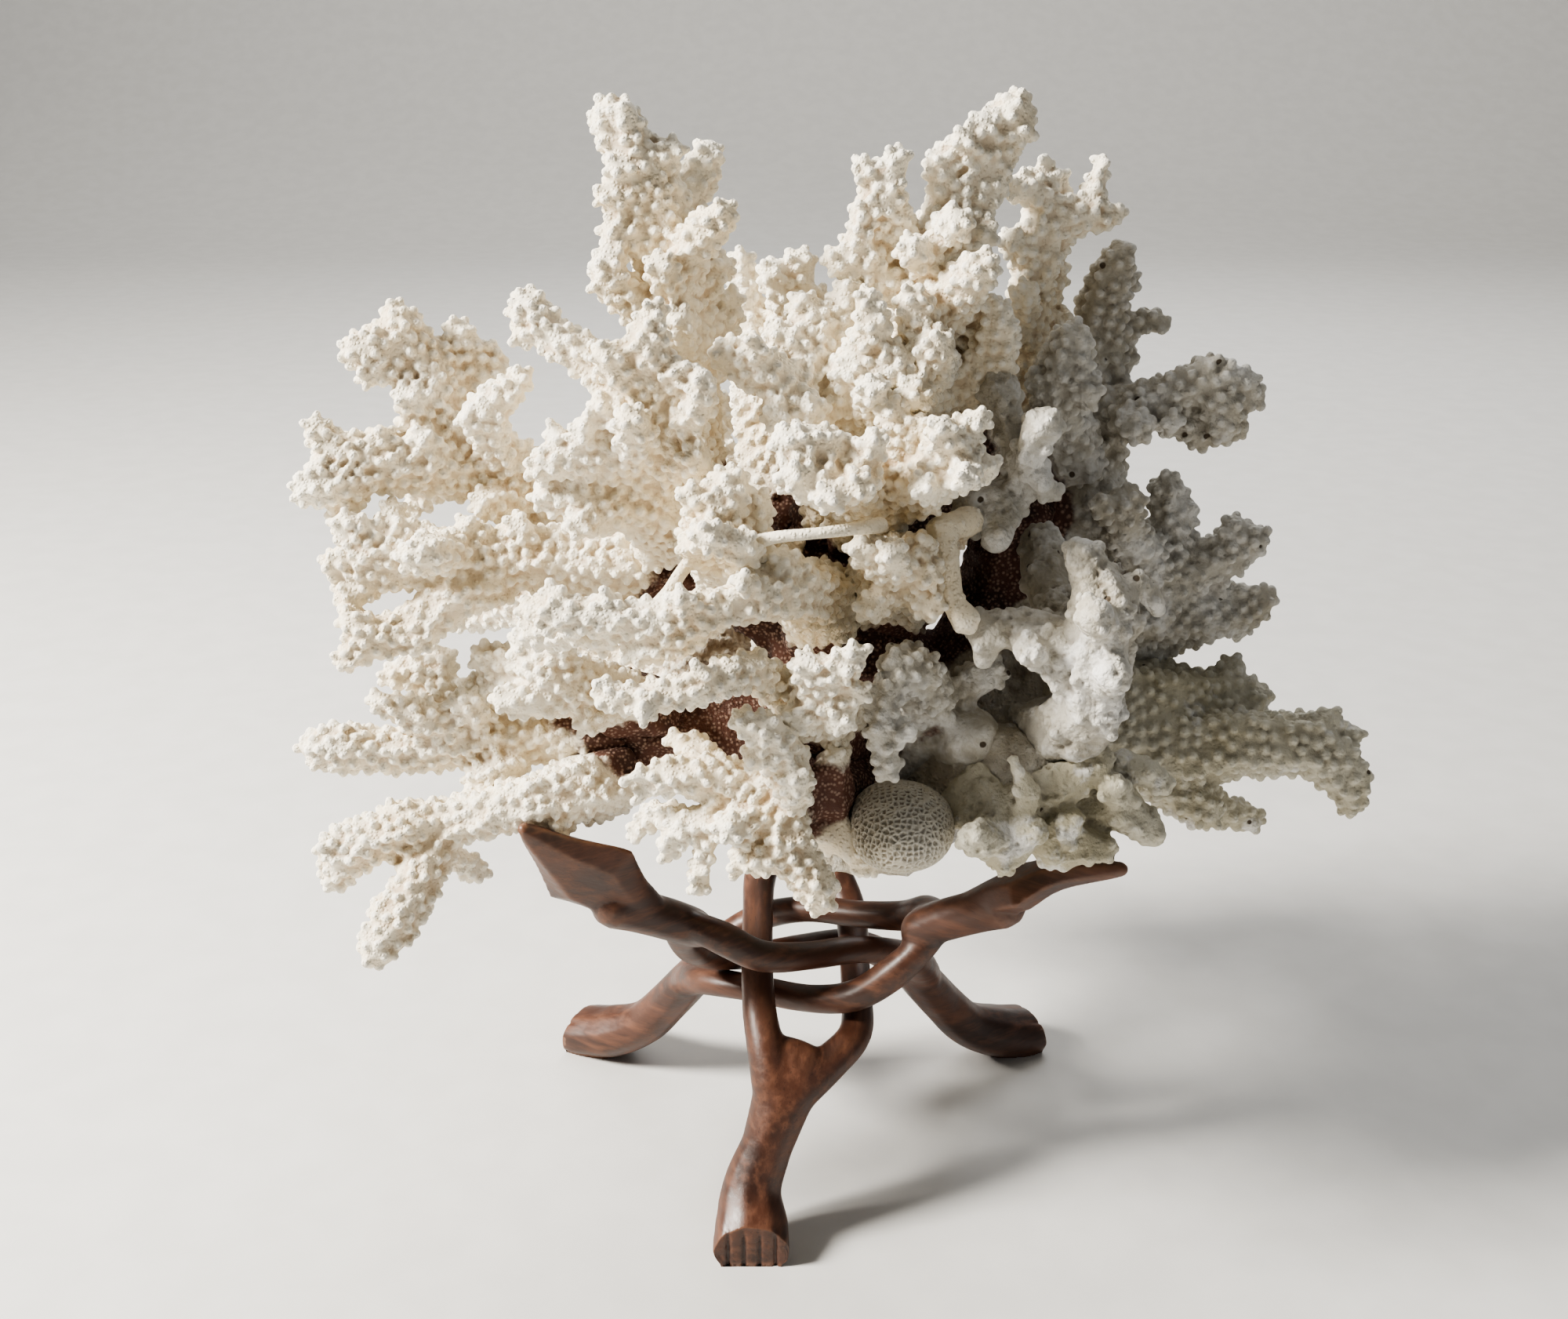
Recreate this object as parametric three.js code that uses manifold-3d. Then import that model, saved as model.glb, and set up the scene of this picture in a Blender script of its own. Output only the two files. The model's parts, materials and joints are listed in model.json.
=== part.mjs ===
// Branching coral colony resting on a stand of three interlocked carved limbs.
//
// Millimetres, +Z up. The front of the object looks towards -Y and +X is to the
// right of someone who faces it. The origin is the middle of the bounding box's
// footprint, on the table.
//
// The coral is split at its main forks. Each branch is a union of bent round bars,
// thick at the root and domed at the tip. A bar is a list of stations
// [x, z, depth, radius]: x and z are where the station is seen in the upright sheet
// through the colony's middle, and depth is how far it then slides along the line of
// sight from EYE, growing or shrinking with the distance, so that the outline seen
// from the front stays as drawn whatever the depth is.

import * as THREE from "three";
import { mergeVertices } from "three/addons/utils/BufferGeometryUtils.js";
import Module from "manifold-3d";

const wasm = await Module();
wasm.setup();

// ---------------------------------------------------------------- dimensions

const GAP = 0.3; // clearance between neighbouring pieces
const EYE = new THREE.Vector3(-6, -415.5, 300); // the front outline is drawn from here
const CORAL_SIDES = 5; // sides of a coral bar's section
const CORAL_STEP = 30; // longest step between two rings of a coral bar
const CORAL_SLACK = 1.3; // a station that shapes its bar less than this is left out
const WOOD_SIDES = 7; // sides of a carved limb's section
const WOOD_STEP = 19; // longest step between two rings of a limb
const STAND_CENTRE = new THREE.Vector3(0, 5, 0); // where the three limbs cross
const FOOT_REACH = 72; // from the crossing to the toes of a limb's own drawing
const FORK_REACH = 36; // from the crossing to the fork of a limb
const LEAN_FROM = 26; // where a leg starts to lean sideways
const LEAN_TO = 52; // where it has leant all the way
const SOLE_DEPTH = 20; // depth of the cutter that planes the soles
const TOE_GROOVES = 4; // grooves that part the five toes
const TOE_GROOVE_WIDTH = 1.2;
const TOE_GROOVE_LENGTH = 9;
const TOE_PITCH = 4.3;
const BASE_CUT = 91; // height of the flat cut under the colony

// ---------------------------------------------------------------- materials

const WOOD = { color: 0x6b3a22, roughness: 0.45, metalness: 0 };
const CORAL_WHITE = { color: 0xefe9da, roughness: 0.85, metalness: 0 };
const CORAL_BROWN = { color: 0x7d4a33, roughness: 0.9, metalness: 0 };
const CORAL_GREY = { color: 0xc9c6bd, roughness: 0.95, metalness: 0 };

// ---------------------------------------------------------------- solids

/** A closed three.js geometry as a manifold solid with its faces outwards. */
function solidOf(geometry) {
  const bare = geometry.index ? geometry.toNonIndexed() : geometry.clone();
  bare.deleteAttribute("normal");
  bare.deleteAttribute("uv");
  const merged = mergeVertices(bare, 1e-4);
  const corners = merged.index.array;
  const kept = [];
  for (let i = 0; i < corners.length; i += 3) {
    const [a, b, c] = [corners[i], corners[i + 1], corners[i + 2]];
    if (a !== b && b !== c && c !== a) {
      kept.push(a, b, c);
    }
  }
  const make = (triangles) =>
    new wasm.Manifold(
      new wasm.Mesh({
        numProp: 3,
        vertProperties: new Float32Array(merged.attributes.position.array),
        triVerts: new Uint32Array(triangles),
      }),
    );
  const solid = make(kept);
  if (solid.volume() > 0) {
    return solid;
  }
  const turned = [];
  for (let i = 0; i < kept.length; i += 3) {
    turned.push(kept[i], kept[i + 2], kept[i + 1]);
  }
  return make(turned);
}

/** The largest body of a solid, without crumbs and without sealed hollows. */
function largestBody(solid) {
  const bodies = solid.decompose();
  return bodies.reduce((best, body) => (body.volume() > best.volume() ? body : best));
}

/** All the solids of a list in one. */
function union(solids) {
  return solids.reduce((sum, solid) => sum.add(solid));
}

/**
 * A lathed bar bent along a curve through its stations.
 *
 * Each station is { at, wide, high }: the centre and the half sizes of the section.
 * `side` is the direction in which `wide` is measured at the first station, and it
 * is carried along the curve without twist. `grow` thickens the bar all round.
 */
function bentBar(stations, { side, sides, step, grow = 0 }) {
  const curve = new THREE.CatmullRomCurve3(
    stations.map((station) => station.at),
    false,
    "centripetal",
  );
  const spans = stations.length - 1;
  const rings = [];
  for (let span = 0; span < spans; span += 1) {
    const [from, to] = [stations[span], stations[span + 1]];
    const pieces = Math.max(1, Math.ceil(from.at.distanceTo(to.at) / step));
    for (let piece = 0; piece < pieces; piece += 1) {
      rings.push({ t: (span + piece / pieces) / spans, from, to, mix: piece / pieces });
    }
  }
  const last = stations[spans];
  rings.push({ t: 1, from: last, to: last, mix: 0 });

  // The corners stand out so far that the section has a round bar's area.
  const wedge = (2 * Math.PI) / sides;
  const round = Math.sqrt(wedge / Math.sin(wedge));
  const frames = [];
  let across = side.clone();
  for (const ring of rings) {
    const along = curve.getTangent(ring.t);
    across = across.clone().addScaledVector(along, -across.dot(along)).normalize();
    const up = along.clone().cross(across).normalize();
    const wide = round * THREE.MathUtils.lerp(ring.from.wide, ring.to.wide, ring.mix) + grow;
    const high = round * THREE.MathUtils.lerp(ring.from.high, ring.to.high, ring.mix) + grow;
    frames.push({ at: curve.getPoint(ring.t), along, across, up, wide, high });
  }

  // A pole on the axis closes the root and the tip.
  const dome = (frame, sign, inset, scale) => ({
    ...frame,
    at: frame.at.clone().addScaledVector(frame.along, sign * inset * frame.high),
    wide: frame.wide * scale,
    high: frame.high * scale,
  });
  const first = frames[0];
  const end = frames[frames.length - 1];
  const all = [
    dome(first, -1, 0.7, 0),
    ...frames,
    dome(end, 1, 0.9, 0),
  ];

  const profile = all.map((frame, index) => {
    const onAxis = index === 0 || index === all.length - 1;
    return new THREE.Vector2(onAxis ? 0 : 1, index);
  });
  const geometry = new THREE.LatheGeometry(profile, sides);
  const position = geometry.attributes.position;
  for (let i = 0; i < position.count; i += 1) {
    const frame = all[Math.round(position.getY(i))];
    const place = frame.at
      .clone()
      .addScaledVector(frame.across, position.getX(i) * frame.wide)
      .addScaledVector(frame.up, position.getZ(i) * frame.high);
    position.setXYZ(i, place.x, place.y, place.z);
  }
  return solidOf(geometry);
}

// ---------------------------------------------------------------- coral

/** A station [x, z, depth, radius] of the middle sheet, slid to its depth. */
function seen([x, z, depth, radius]) {
  const scale = (depth - EYE.y) / -EYE.y;
  const inSheet = new THREE.Vector3(x, 0, z);
  const at = EYE.clone().lerp(inSheet, scale);
  return { at, wide: radius * scale, high: radius * scale };
}

/** True where a station bends or swells its bar more than the slack. */
function shapes(before, station, after) {
  const span = new THREE.Line3(before.at, after.at);
  const share = span.closestPointToPointParameter(station.at, true);
  const bend = station.at.distanceTo(span.at(share, new THREE.Vector3()));
  const swell = Math.abs(station.wide - THREE.MathUtils.lerp(before.wide, after.wide, share));
  return bend + swell > CORAL_SLACK;
}

/** One coral bar from its list of stations, without those that hardly shape it. */
function coralBar(stations, grow) {
  const side = new THREE.Vector3(0.35, 0.8, 0.48).normalize();
  const kept = [];
  const all = stations.map(seen);
  all.forEach((station, index) => {
    const inside = index > 0 && index < all.length - 1;
    if (!inside || shapes(kept[kept.length - 1], station, all[index + 1])) {
      kept.push(station);
    }
  });
  return bentBar(kept, { side, sides: CORAL_SIDES, step: CORAL_STEP, grow });
}

const BRANCHES = {
  // The stem with the flat cut, and the brown heart from which the forks leave.
  coral_stem: {
    look: CORAL_BROWN,
    bars: [
      [[17, 86, -4, 19], [16, 104, 0, 24], [12, 124, 4, 23], [8, 146, 8, 19], [4, 168, 10, 14]],
      [[16, 106, 0, 20], [36, 116, 6, 20], [54, 132, 8, 17], [64, 152, 10, 13]],
      [[8, 112, 0, 18], [-14, 118, -2, 17], [-34, 120, -4, 13], [-48, 122, -8, 11]],
      [[4, 150, 8, 14], [-14, 162, 6, 12], [-30, 172, 2, 11]],
      [[8, 156, 8, 14], [20, 174, 8, 13], [28, 192, 8, 11]],
      [[12, 106, -8, 15], [6, 104, -26, 13], [0, 104, -40, 9]],
      [[28, 110, -10, 15], [42, 112, -24, 14], [54, 112, -34, 10]],
      [[12, 120, 6, 18], [10, 122, 34, 16], [8, 126, 56, 11]],
      [[36, 124, 8, 14], [44, 146, 12, 12], [48, 164, 12, 10], [50, 180, 10, 8]],
    ],
  },
  coral_low_left: {
    look: CORAL_WHITE,
    bars: [
      [[-48, 108, -18, 9], [-58, 105, -26, 8], [-70, 102, -31, 6.4], [-80, 100, -30, 5.8], [-92, 96, -28, 6]],
      [[-90, 96, -26, 6], [-102, 95, -30, 6.4], [-113, 91, -32, 6.6], [-120, 85, -32, 5.6], [-122, 79, -32, 4.4]],
      [[-92, 96, -26, 6], [-97, 86, -32, 6], [-102, 76, -38, 6], [-108, 66, -44, 6], [-114, 58, -48, 5.4]],
    ],
  },
  coral_left: {
    look: CORAL_WHITE,
    bars: [
      [[-44, 120, -8, 10], [-58, 121, -12, 8.6], [-70, 121, -14, 6.8], [-82, 119, -16, 6.2], [-96, 117, -18, 6]],
      [[-94, 117, -18, 6], [-108, 116, -20, 5.8], [-118, 117, -22, 6], [-124, 117, -22, 5.2]],
      [[-86, 120, -16, 5.6], [-96, 125, -22, 5], [-105, 128, -24, 4.2], [-108, 130, -24, 3.2]],
      [[-84, 122, -16, 6], [-90, 130, -12, 5.8], [-95, 137, -12, 5], [-98, 140, -12, 3.6]],
    ],
  },
  coral_left_tuft: {
    look: CORAL_WHITE,
    bars: [
      [[-38, 126, -8, 9], [-50, 131, -22, 8], [-60, 135, -28, 7.4], [-67, 138, -30, 6]],
      [[-60, 137, -26, 5.4], [-72, 139, -18, 4.8], [-81, 141, -16, 4]],
      [[-58, 134, -24, 5.4], [-74, 134, -18, 5], [-84, 132, -16, 3.8]],
    ],
  },
  coral_left_arm: {
    look: CORAL_WHITE,
    bars: [
      [[-34, 164, 2, 11], [-48, 166, -6, 9.6], [-62, 167, -8, 8], [-76, 166, -10, 7.6], [-90, 167, -12, 7]],
      [[-88, 167, -12, 7], [-100, 168, -14, 8.4], [-109, 167, -16, 7.4]],
      [[-74, 163, -10, 6.4], [-84, 158, -16, 6], [-92, 152, -20, 5.8], [-100, 147, -22, 5.2], [-110, 146, -24, 5.2]],
    ],
  },
  coral_upper_left: {
    look: CORAL_WHITE,
    bars: [
      [[-46, 172, 10, 9], [-58, 178, 10, 8], [-68, 185, 8, 8.4], [-77, 191, 8, 8.4], [-84, 199, 8, 8.6]],
      [[-82, 196, 8, 8], [-87, 206, 8, 8.6], [-89, 213, 8, 8], [-94, 219, 6, 6.4], [-95, 225, 6, 4.8]],
      [[-70, 188, 4, 5.4], [-75, 197, -2, 5], [-75, 204, -4, 4.8], [-69, 208, -4, 4], [-66, 211, -4, 2.8]],
      [[-76, 189, 6, 7.4], [-88, 190, 0, 6.6], [-98, 190, -4, 6.4], [-106, 191, -6, 5.6], [-114, 194, -8, 4.8]],
    ],
  },
  coral_crown_left: {
    look: CORAL_WHITE,
    bars: [
      [[-26, 176, 4, 10], [-30, 192, 2, 9.4], [-30, 206, 2, 8.4], [-29, 220, 2, 7.6], [-31, 234, 2, 8]],
      [[-31, 232, 2, 8], [-35, 246, 0, 8], [-37, 257, 0, 7], [-41, 265, 0, 6], [-45, 270, 0, 5]],
      [[-30, 226, -4, 6], [-40, 228, -8, 5.4], [-46, 233, -10, 5.2], [-46, 238, -10, 4]],
    ],
  },
  coral_crown_left_front: {
    look: CORAL_WHITE,
    bars: [
      [[-32, 172, -8, 10], [-37, 184, -16, 9.4], [-39, 196, -22, 9], [-38, 206, -26, 8.4], [-38, 214, -28, 6]],
      [[-39, 204, -26, 6.4], [-46, 212, -26, 5.4], [-52, 215, -24, 4.8], [-60, 221, -22, 4.8], [-66, 228, -20, 4.6]],
      [[-39, 190, -20, 7], [-50, 193, -26, 5.8], [-58, 192, -28, 5], [-65, 189, -28, 4]],
      [[-36, 178, -16, 7.4], [-48, 181, -22, 6.4], [-57, 183, -24, 5.4], [-64, 182, -24, 4]],
    ],
  },
  coral_crown_middle_back: {
    look: CORAL_WHITE,
    bars: [
      [[-6, 172, 22, 9], [-9, 190, 28, 7.6], [-12, 206, 32, 6.2], [-14, 222, 34, 4.8], [-15, 234, 34, 4.2], [-16, 239, 34, 3]],
      [[-9, 192, 28, 6.4], [-5, 208, 30, 6], [-4, 222, 30, 5.6], [-4, 233, 28, 5.2], [-2, 238, 28, 3.8]],
    ],
  },
  coral_crown_middle: {
    look: CORAL_WHITE,
    bars: [
      [[6, 176, 6, 10], [6, 190, 0, 8.4], [4, 204, -8, 7.4], [3, 215, -12, 6.6], [1, 224, -12, 5.4], [-2, 228, -12, 4]],
      [[4, 204, -12, 6], [-4, 208, -22, 5.6], [-12, 213, -26, 5.2], [-20, 217, -26, 4]],
      [[6, 196, -8, 7], [11, 206, -20, 6.4], [10, 215, -24, 5.2]],
      [[10, 200, -12, 7], [18, 208, -22, 6.2], [18, 216, -24, 5]],
    ],
  },
  coral_crown_right: {
    look: CORAL_WHITE,
    bars: [
      [[26, 188, 8, 11], [31, 204, 4, 10.4], [30, 218, 2, 9.4], [28, 231, 2, 8.4], [30, 243, 2, 8]],
      [[30, 241, 2, 8], [34, 251, 2, 7.6], [39, 260, 2, 6.6], [43, 267, 2, 5.6], [46, 272, 2, 4.4]],
      [[27, 238, 0, 5.4], [20, 244, -4, 4.8], [17, 252, -6, 4.6], [13, 257, -6, 3.6], [11, 259, -6, 2.8]],
      [[24, 231, -2, 5.6], [15, 234, -6, 4.6], [11, 242, -8, 3.8], [12, 249, -8, 3.6], [17, 251, -8, 3.4]],
      [[28, 210, -6, 7], [28, 216, -20, 6], [30, 219, -26, 4.4]],
      [[36, 208, 0, 9], [41, 216, -4, 7.4], [43, 223, -8, 5.6], [42, 227, -10, 4]],
    ],
  },
  coral_crest_right: {
    look: CORAL_WHITE,
    bars: [
      [[40, 190, 18, 10], [46, 204, 20, 8], [49, 218, 20, 5.4], [50, 230, 18, 5], [51, 240, 18, 5.6], [53, 247, 18, 5.4]],
      [[52, 245, 18, 5], [59, 248, 18, 4.6], [65, 248, 18, 3.8], [70, 248, 18, 2.8]],
    ],
  },
  coral_right_high: {
    look: CORAL_GREY,
    bars: [
      [[62, 168, 20, 11], [65, 184, 24, 10.4], [66, 200, 24, 9.6], [66, 214, 24, 7.8], [67, 226, 24, 6], [69, 236, 24, 4.6], [71, 240, 24, 3.4]],
      [[64, 190, 14, 7.4], [58, 204, 4, 6], [60, 214, 0, 6.4], [61, 221, 0, 4.4]],
      [[68, 204, 20, 6], [77, 205, 14, 5], [86, 208, 12, 4.6], [93, 211, 12, 5], [98, 212, 12, 4]],
    ],
  },
  coral_bored_knob: {
    look: CORAL_GREY,
    bars: [
      [[44, 209, -10, 4], [46, 201, -12, 4], [49, 193, -14, 4.4], [51, 186, -14, 4.6]],
      [[50, 189, -16, 4], [53, 194, -22, 4], [56, 200, -24, 5.2]],
      [[52, 186, -14, 5], [46, 180, -16, 6], [38, 178, -18, 6]],
    ],
  },
  coral_right: {
    look: CORAL_GREY,
    bars: [
      [[56, 146, 10, 14], [70, 150, 12, 13], [82, 154, 12, 12], [88, 166, 14, 7], [86, 178, 16, 5.6], [85, 186, 16, 4]],
      [[86, 158, 12, 8], [95, 165, 12, 6.4], [103, 169, 10, 5.4], [108, 172, 10, 4.2]],
      [[86, 152, 12, 9], [97, 153, 12, 6.8], [106, 154, 12, 5.6], [111, 156, 12, 4.2]],
    ],
  },
  coral_right_low: {
    look: CORAL_GREY,
    bars: [
      [[62, 124, -2, 15], [78, 126, -2, 14], [90, 126, -2, 12], [99, 128, 0, 8.4], [106, 131, 2, 5.8], [112, 130, 2, 4.6]],
      [[86, 118, -6, 12], [98, 116, -10, 9.6], [108, 118, -12, 8], [118, 119, -12, 7.8], [127, 118, -12, 7.6]],
      [[125, 118, -12, 7.6], [133, 113, -14, 7], [138, 105, -16, 5], [139, 100, -16, 3.4]],
      [[88, 112, -8, 9], [97, 104, -14, 6], [102, 98, -18, 5]],
    ],
  },
  coral_crust_column: {
    look: CORAL_GREY,
    bars: [
      [[56, 120, -22, 9], [66, 122, -36, 8.6], [71, 128, -42, 8], [72, 142, -44, 8], [72, 155, -42, 7.8], [70, 161, -40, 6]],
      [[70, 134, -42, 7], [61, 144, -38, 7.4], [54, 148, -36, 6], [46, 148, -36, 5], [41, 149, -36, 3.6]],
    ],
  },
  coral_bony_twig: {
    look: CORAL_WHITE,
    bars: [
      [[32, 175, -30, 3.6], [33, 166, -34, 3], [35, 156, -38, 3], [39, 150, -40, 3.2]],
    ],
  },
  coral_crust_lobes: {
    look: CORAL_GREY,
    bars: [
      [[44, 104, -34, 10], [49, 96, -42, 9], [50, 89, -46, 8], [50, 86, -46, 6]],
      [[54, 100, -44, 4.6], [56, 105, -48, 3], [53, 112, -50, 1.6], [51, 115, -50, 0.9]],
      [[52, 104, -34, 9], [64, 106, -40, 6.4], [69, 109, -42, 4.6], [74, 113, -40, 3.4]],
      [[56, 100, -36, 8], [65, 90, -42, 7], [73, 88, -42, 5], [78, 88, -42, 3.6]],
      [[60, 104, -30, 8], [72, 102, -34, 6.4], [80, 101, -38, 6], [86, 95, -38, 4.8], [89, 92, -38, 3.4]],
      [[72, 108, -30, 5], [80, 113, -34, 3.4], [86, 110, -36, 3.6], [91, 106, -36, 2.2]],
    ],
  },
  honeycomb_coral: {
    look: CORAL_GREY,
    bars: [
      [[22, 96, -34, 8], [20, 95, -45, 9.4], [19, 94, -51, 7]],
      [[28, 96, -34, 8], [27, 95, -43, 9.4], [26, 94, -49, 7]],
    ],
  },
  coral_front_low: {
    look: CORAL_WHITE,
    bars: [
      [[2, 104, -34, 8], [-4, 104, -46, 7.6], [-6, 97, -52, 7], [-6, 90, -56, 7], [-2, 84, -58, 6.6], [3, 76, -60, 5.2], [4, 72, -60, 4]],
      [[4, 96, -36, 6.4], [6, 104, -44, 5.4], [7, 113, -46, 4.4]],
      [[2, 98, -40, 7], [10, 92, -42, 6], [15, 86, -42, 4.4]],
      [[-14, 98, -52, 5.4], [-24, 95, -54, 5], [-33, 94, -54, 4.6], [-37, 88, -54, 3.2], [-37, 85, -54, 2.6]],
      [[-8, 106, -48, 7], [-18, 106, -48, 7], [-27, 109, -50, 5.6], [-37, 109, -52, 5]],
      [[-3, 106, -48, 6], [-6, 112, -56, 5.6], [-8, 118, -60, 5.4], [-12, 122, -62, 4.6], [-17, 124, -62, 3.4]],
    ],
  },
  coral_front_tips: {
    look: CORAL_WHITE,
    bars: [
      [[8, 122, -10, 12], [4, 126, -30, 9.6], [2, 129, -46, 8], [4, 133, -54, 7.4]],
      [[0, 128, -36, 6], [-8, 133, -46, 5], [-14, 138, -54, 5], [-21, 136, -60, 4.6], [-30, 132, -64, 4.6]],
      [[-29, 132, -64, 4.6], [-40, 130, -66, 4.4], [-48, 130, -66, 4], [-52, 129, -66, 2.8]],
    ],
  },
  coral_front_column: {
    look: CORAL_GREY,
    bars: [
      [[26, 116, -16, 12], [32, 126, -26, 8], [26, 137, -38, 6.8], [22, 139, -44, 5.6]],
      [[24, 138, -42, 5], [19, 131, -48, 4.4], [18, 122, -50, 4.4], [20, 114, -50, 4.4], [21, 110, -50, 3.4]],
      [[36, 118, -22, 8], [42, 120, -34, 7]],
    ],
  },
  coral_front_row: {
    look: CORAL_WHITE,
    bars: [
      [[4, 152, 0, 12], [2, 156, -22, 9], [-2, 159, -40, 7], [-12, 157, -50, 5.6], [-24, 153, -54, 5.2]],
      [[-22, 154, -54, 5.2], [-36, 151, -56, 5], [-50, 151, -56, 5], [-62, 152, -56, 4.6], [-69, 154, -54, 3.6]],
    ],
  },
  coral_front_stub: {
    look: CORAL_WHITE,
    bars: [
      [[-12, 164, -4, 11], [-20, 167, -24, 9.4], [-22, 172, -38, 8.6], [-22, 179, -42, 7.6], [-18, 186, -42, 5]],
    ],
  },
  coral_centre_lumps: {
    look: CORAL_WHITE,
    bars: [
      [[14, 178, 2, 12], [14, 183, -20, 9], [10, 187, -36, 7], [4, 186, -44, 5.6], [-5, 187, -48, 4.8]],
      [[18, 184, -22, 8], [28, 187, -32, 7.4], [35, 192, -38, 6.8], [36, 198, -38, 5]],
    ],
  },
  coral_centre_fan: {
    look: CORAL_WHITE,
    bars: [
      [[20, 158, 0, 12], [21, 162, -22, 8.6], [21, 164, -36, 7]],
    ],
  },
  coral_back_left: {
    look: CORAL_WHITE,
    bars: [
      [[-22, 140, 28, 12], [-38, 146, 40, 9], [-54, 150, 50, 7.4], [-70, 156, 58, 6.2], [-82, 164, 62, 5]],
      [[-56, 150, 50, 5.6], [-60, 160, 62, 5], [-64, 168, 72, 4]],
      [[-38, 146, 42, 6.4], [-42, 154, 60, 5.4], [-44, 160, 74, 4.4]],
    ],
  },
  coral_back_crown: {
    look: CORAL_WHITE,
    bars: [
      [[-4, 158, 36, 11], [-12, 172, 50, 8.6], [-20, 186, 58, 7], [-28, 200, 62, 6], [-32, 212, 64, 4.6]],
      [[-12, 174, 50, 6.4], [-8, 186, 64, 5.4], [-6, 196, 72, 4.2]],
      [[-14, 174, 54, 6], [-18, 172, 72, 5], [-20, 176, 84, 4]],
    ],
  },
  coral_back_middle: {
    look: CORAL_WHITE,
    bars: [
      [[8, 128, 52, 11], [6, 138, 68, 8.6], [4, 148, 80, 7], [2, 158, 88, 5.4]],
      [[6, 138, 70, 6], [-6, 142, 84, 5], [-12, 146, 92, 4]],
      [[8, 132, 64, 6.4], [16, 124, 80, 5], [20, 118, 88, 4]],
    ],
  },
  coral_back_right: {
    look: CORAL_GREY,
    bars: [
      [[46, 132, 30, 13], [58, 138, 46, 9], [66, 146, 56, 7.4], [72, 156, 62, 6], [76, 166, 64, 4.6]],
      [[64, 142, 54, 5.6], [76, 140, 64, 5], [86, 140, 70, 3.8]],
    ],
  },
  coral_back_top: {
    look: CORAL_WHITE,
    bars: [
      [[24, 178, 26, 11], [24, 192, 40, 8.4], [22, 206, 50, 6.8], [20, 218, 54, 5.4], [20, 226, 54, 4]],
      [[23, 200, 48, 5.6], [32, 206, 58, 5], [36, 214, 62, 3.8]],
      [[26, 178, 32, 8], [36, 176, 52, 6], [42, 182, 62, 4.4]],
    ],
  },
};

/** A branch as one solid; `grow` thickens every bar, to cut room for a neighbour. */
function branchSolid(bars, grow) {
  return union(bars.map((stations) => coralBar(stations, grow)));
}

// ---------------------------------------------------------------- stand

// A limb in its own drawing: u runs from the foot to the head, v to the left of that
// and z up, then the half width and half height of the section.
const LEG = [
  [-74, 0, 4, 9, 6], [-68, 0, 5, 9.6, 7], [-60, 0, 8, 9.2, 7.2], [-52, 0, 14, 7.6, 6.4],
  [-45, 0, 24, 6.8, 6.2], [-39, 0, 33, 7.8, 6], [-34, 0, 40, 9.4, 5.4], [-31, 0, 43, 10, 4.6],
];
const HIGH_STRAND = [
  [-37, 3, 38, 4.6, 4.8], [-31, 8, 46, 4.4, 4.6], [-23, 12.4, 53, 4.2, 3.8], [-8, 13, 59.8, 4, 3.4],
  [8, 13, 63, 4, 3.4], [22, 12.4, 67, 4.2, 3.7], [31, 8, 73, 4.6, 4.4], [39, 2, 79, 5, 4.8],
];
const LOW_STRAND = [
  [-37, -3, 36, 4.6, 4.6], [-31, -8, 41, 4.4, 4.2], [-23, -12.4, 45, 4.2, 3.6], [-8, -13, 48, 4, 3.3],
  [8, -13, 50.4, 4, 3.3], [22, -12.4, 55.4, 4.2, 3.6], [31, -8, 63, 4.6, 4.4], [39, -2, 72, 5, 4.8],
];
const NECK = [
  [36, 0, 75, 6, 4.6], [43, 0, 79, 5, 5], [51, 0, 83, 5.4, 5.2], [57, 0, 86, 6, 5.6],
];

const LIMBS = {
  stand_front_limb: { heading: 90, reach: 58, lean: 14, hood: 10, roll: 25, nose: 84, rise: 12 },
  stand_left_limb: { heading: 213, reach: 79, lean: 0, hood: 13.5, roll: 62, nose: 80, rise: 24.6 },
  stand_right_limb: { heading: -33, reach: 79, lean: 0, hood: 9, roll: 14, nose: 87, rise: 16.4 },
};

/** The stations of a limb's stretch, from its own drawing to the stand's frame. */
function placed(stretch, limb) {
  const turn = THREE.MathUtils.degToRad(limb.heading);
  const forward = new THREE.Vector3(Math.cos(turn), Math.sin(turn), 0);
  const left = new THREE.Vector3(-forward.y, forward.x, 0);
  return stretch.map(([u, v, z, wide, high]) => {
    // Only the leg below the fork is drawn out to the limb's own reach and lean.
    const legShare = Math.max(0, -u - FORK_REACH) / (FOOT_REACH - FORK_REACH);
    const along = u - legShare * (limb.reach - FOOT_REACH);
    const leanShare = THREE.MathUtils.clamp((-u - LEAN_FROM) / (LEAN_TO - LEAN_FROM), 0, 1);
    const at = STAND_CENTRE.clone()
      .addScaledVector(forward, along)
      .addScaledVector(left, v + leanShare * limb.lean)
      .setZ(z);
    return { at, wide, high };
  });
}

/** The snake's head at the end of a limb: neck, flared hood and narrow nose. */
function headStations(limb) {
  const { hood, nose, rise } = limb;
  return [
    [53, 0, 85, 5.4, 5.2],
    [59, 0, 86 + rise * 0.3, hood * 0.86, 5],
    [65, 0, 87 + rise * 0.46, hood, 4.6],
    [72, 0, 88 + rise * 0.7, hood * 0.58, 3.8],
    [nose - 1, 0, 88 + rise, 1.7, 2],
  ];
}

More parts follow.
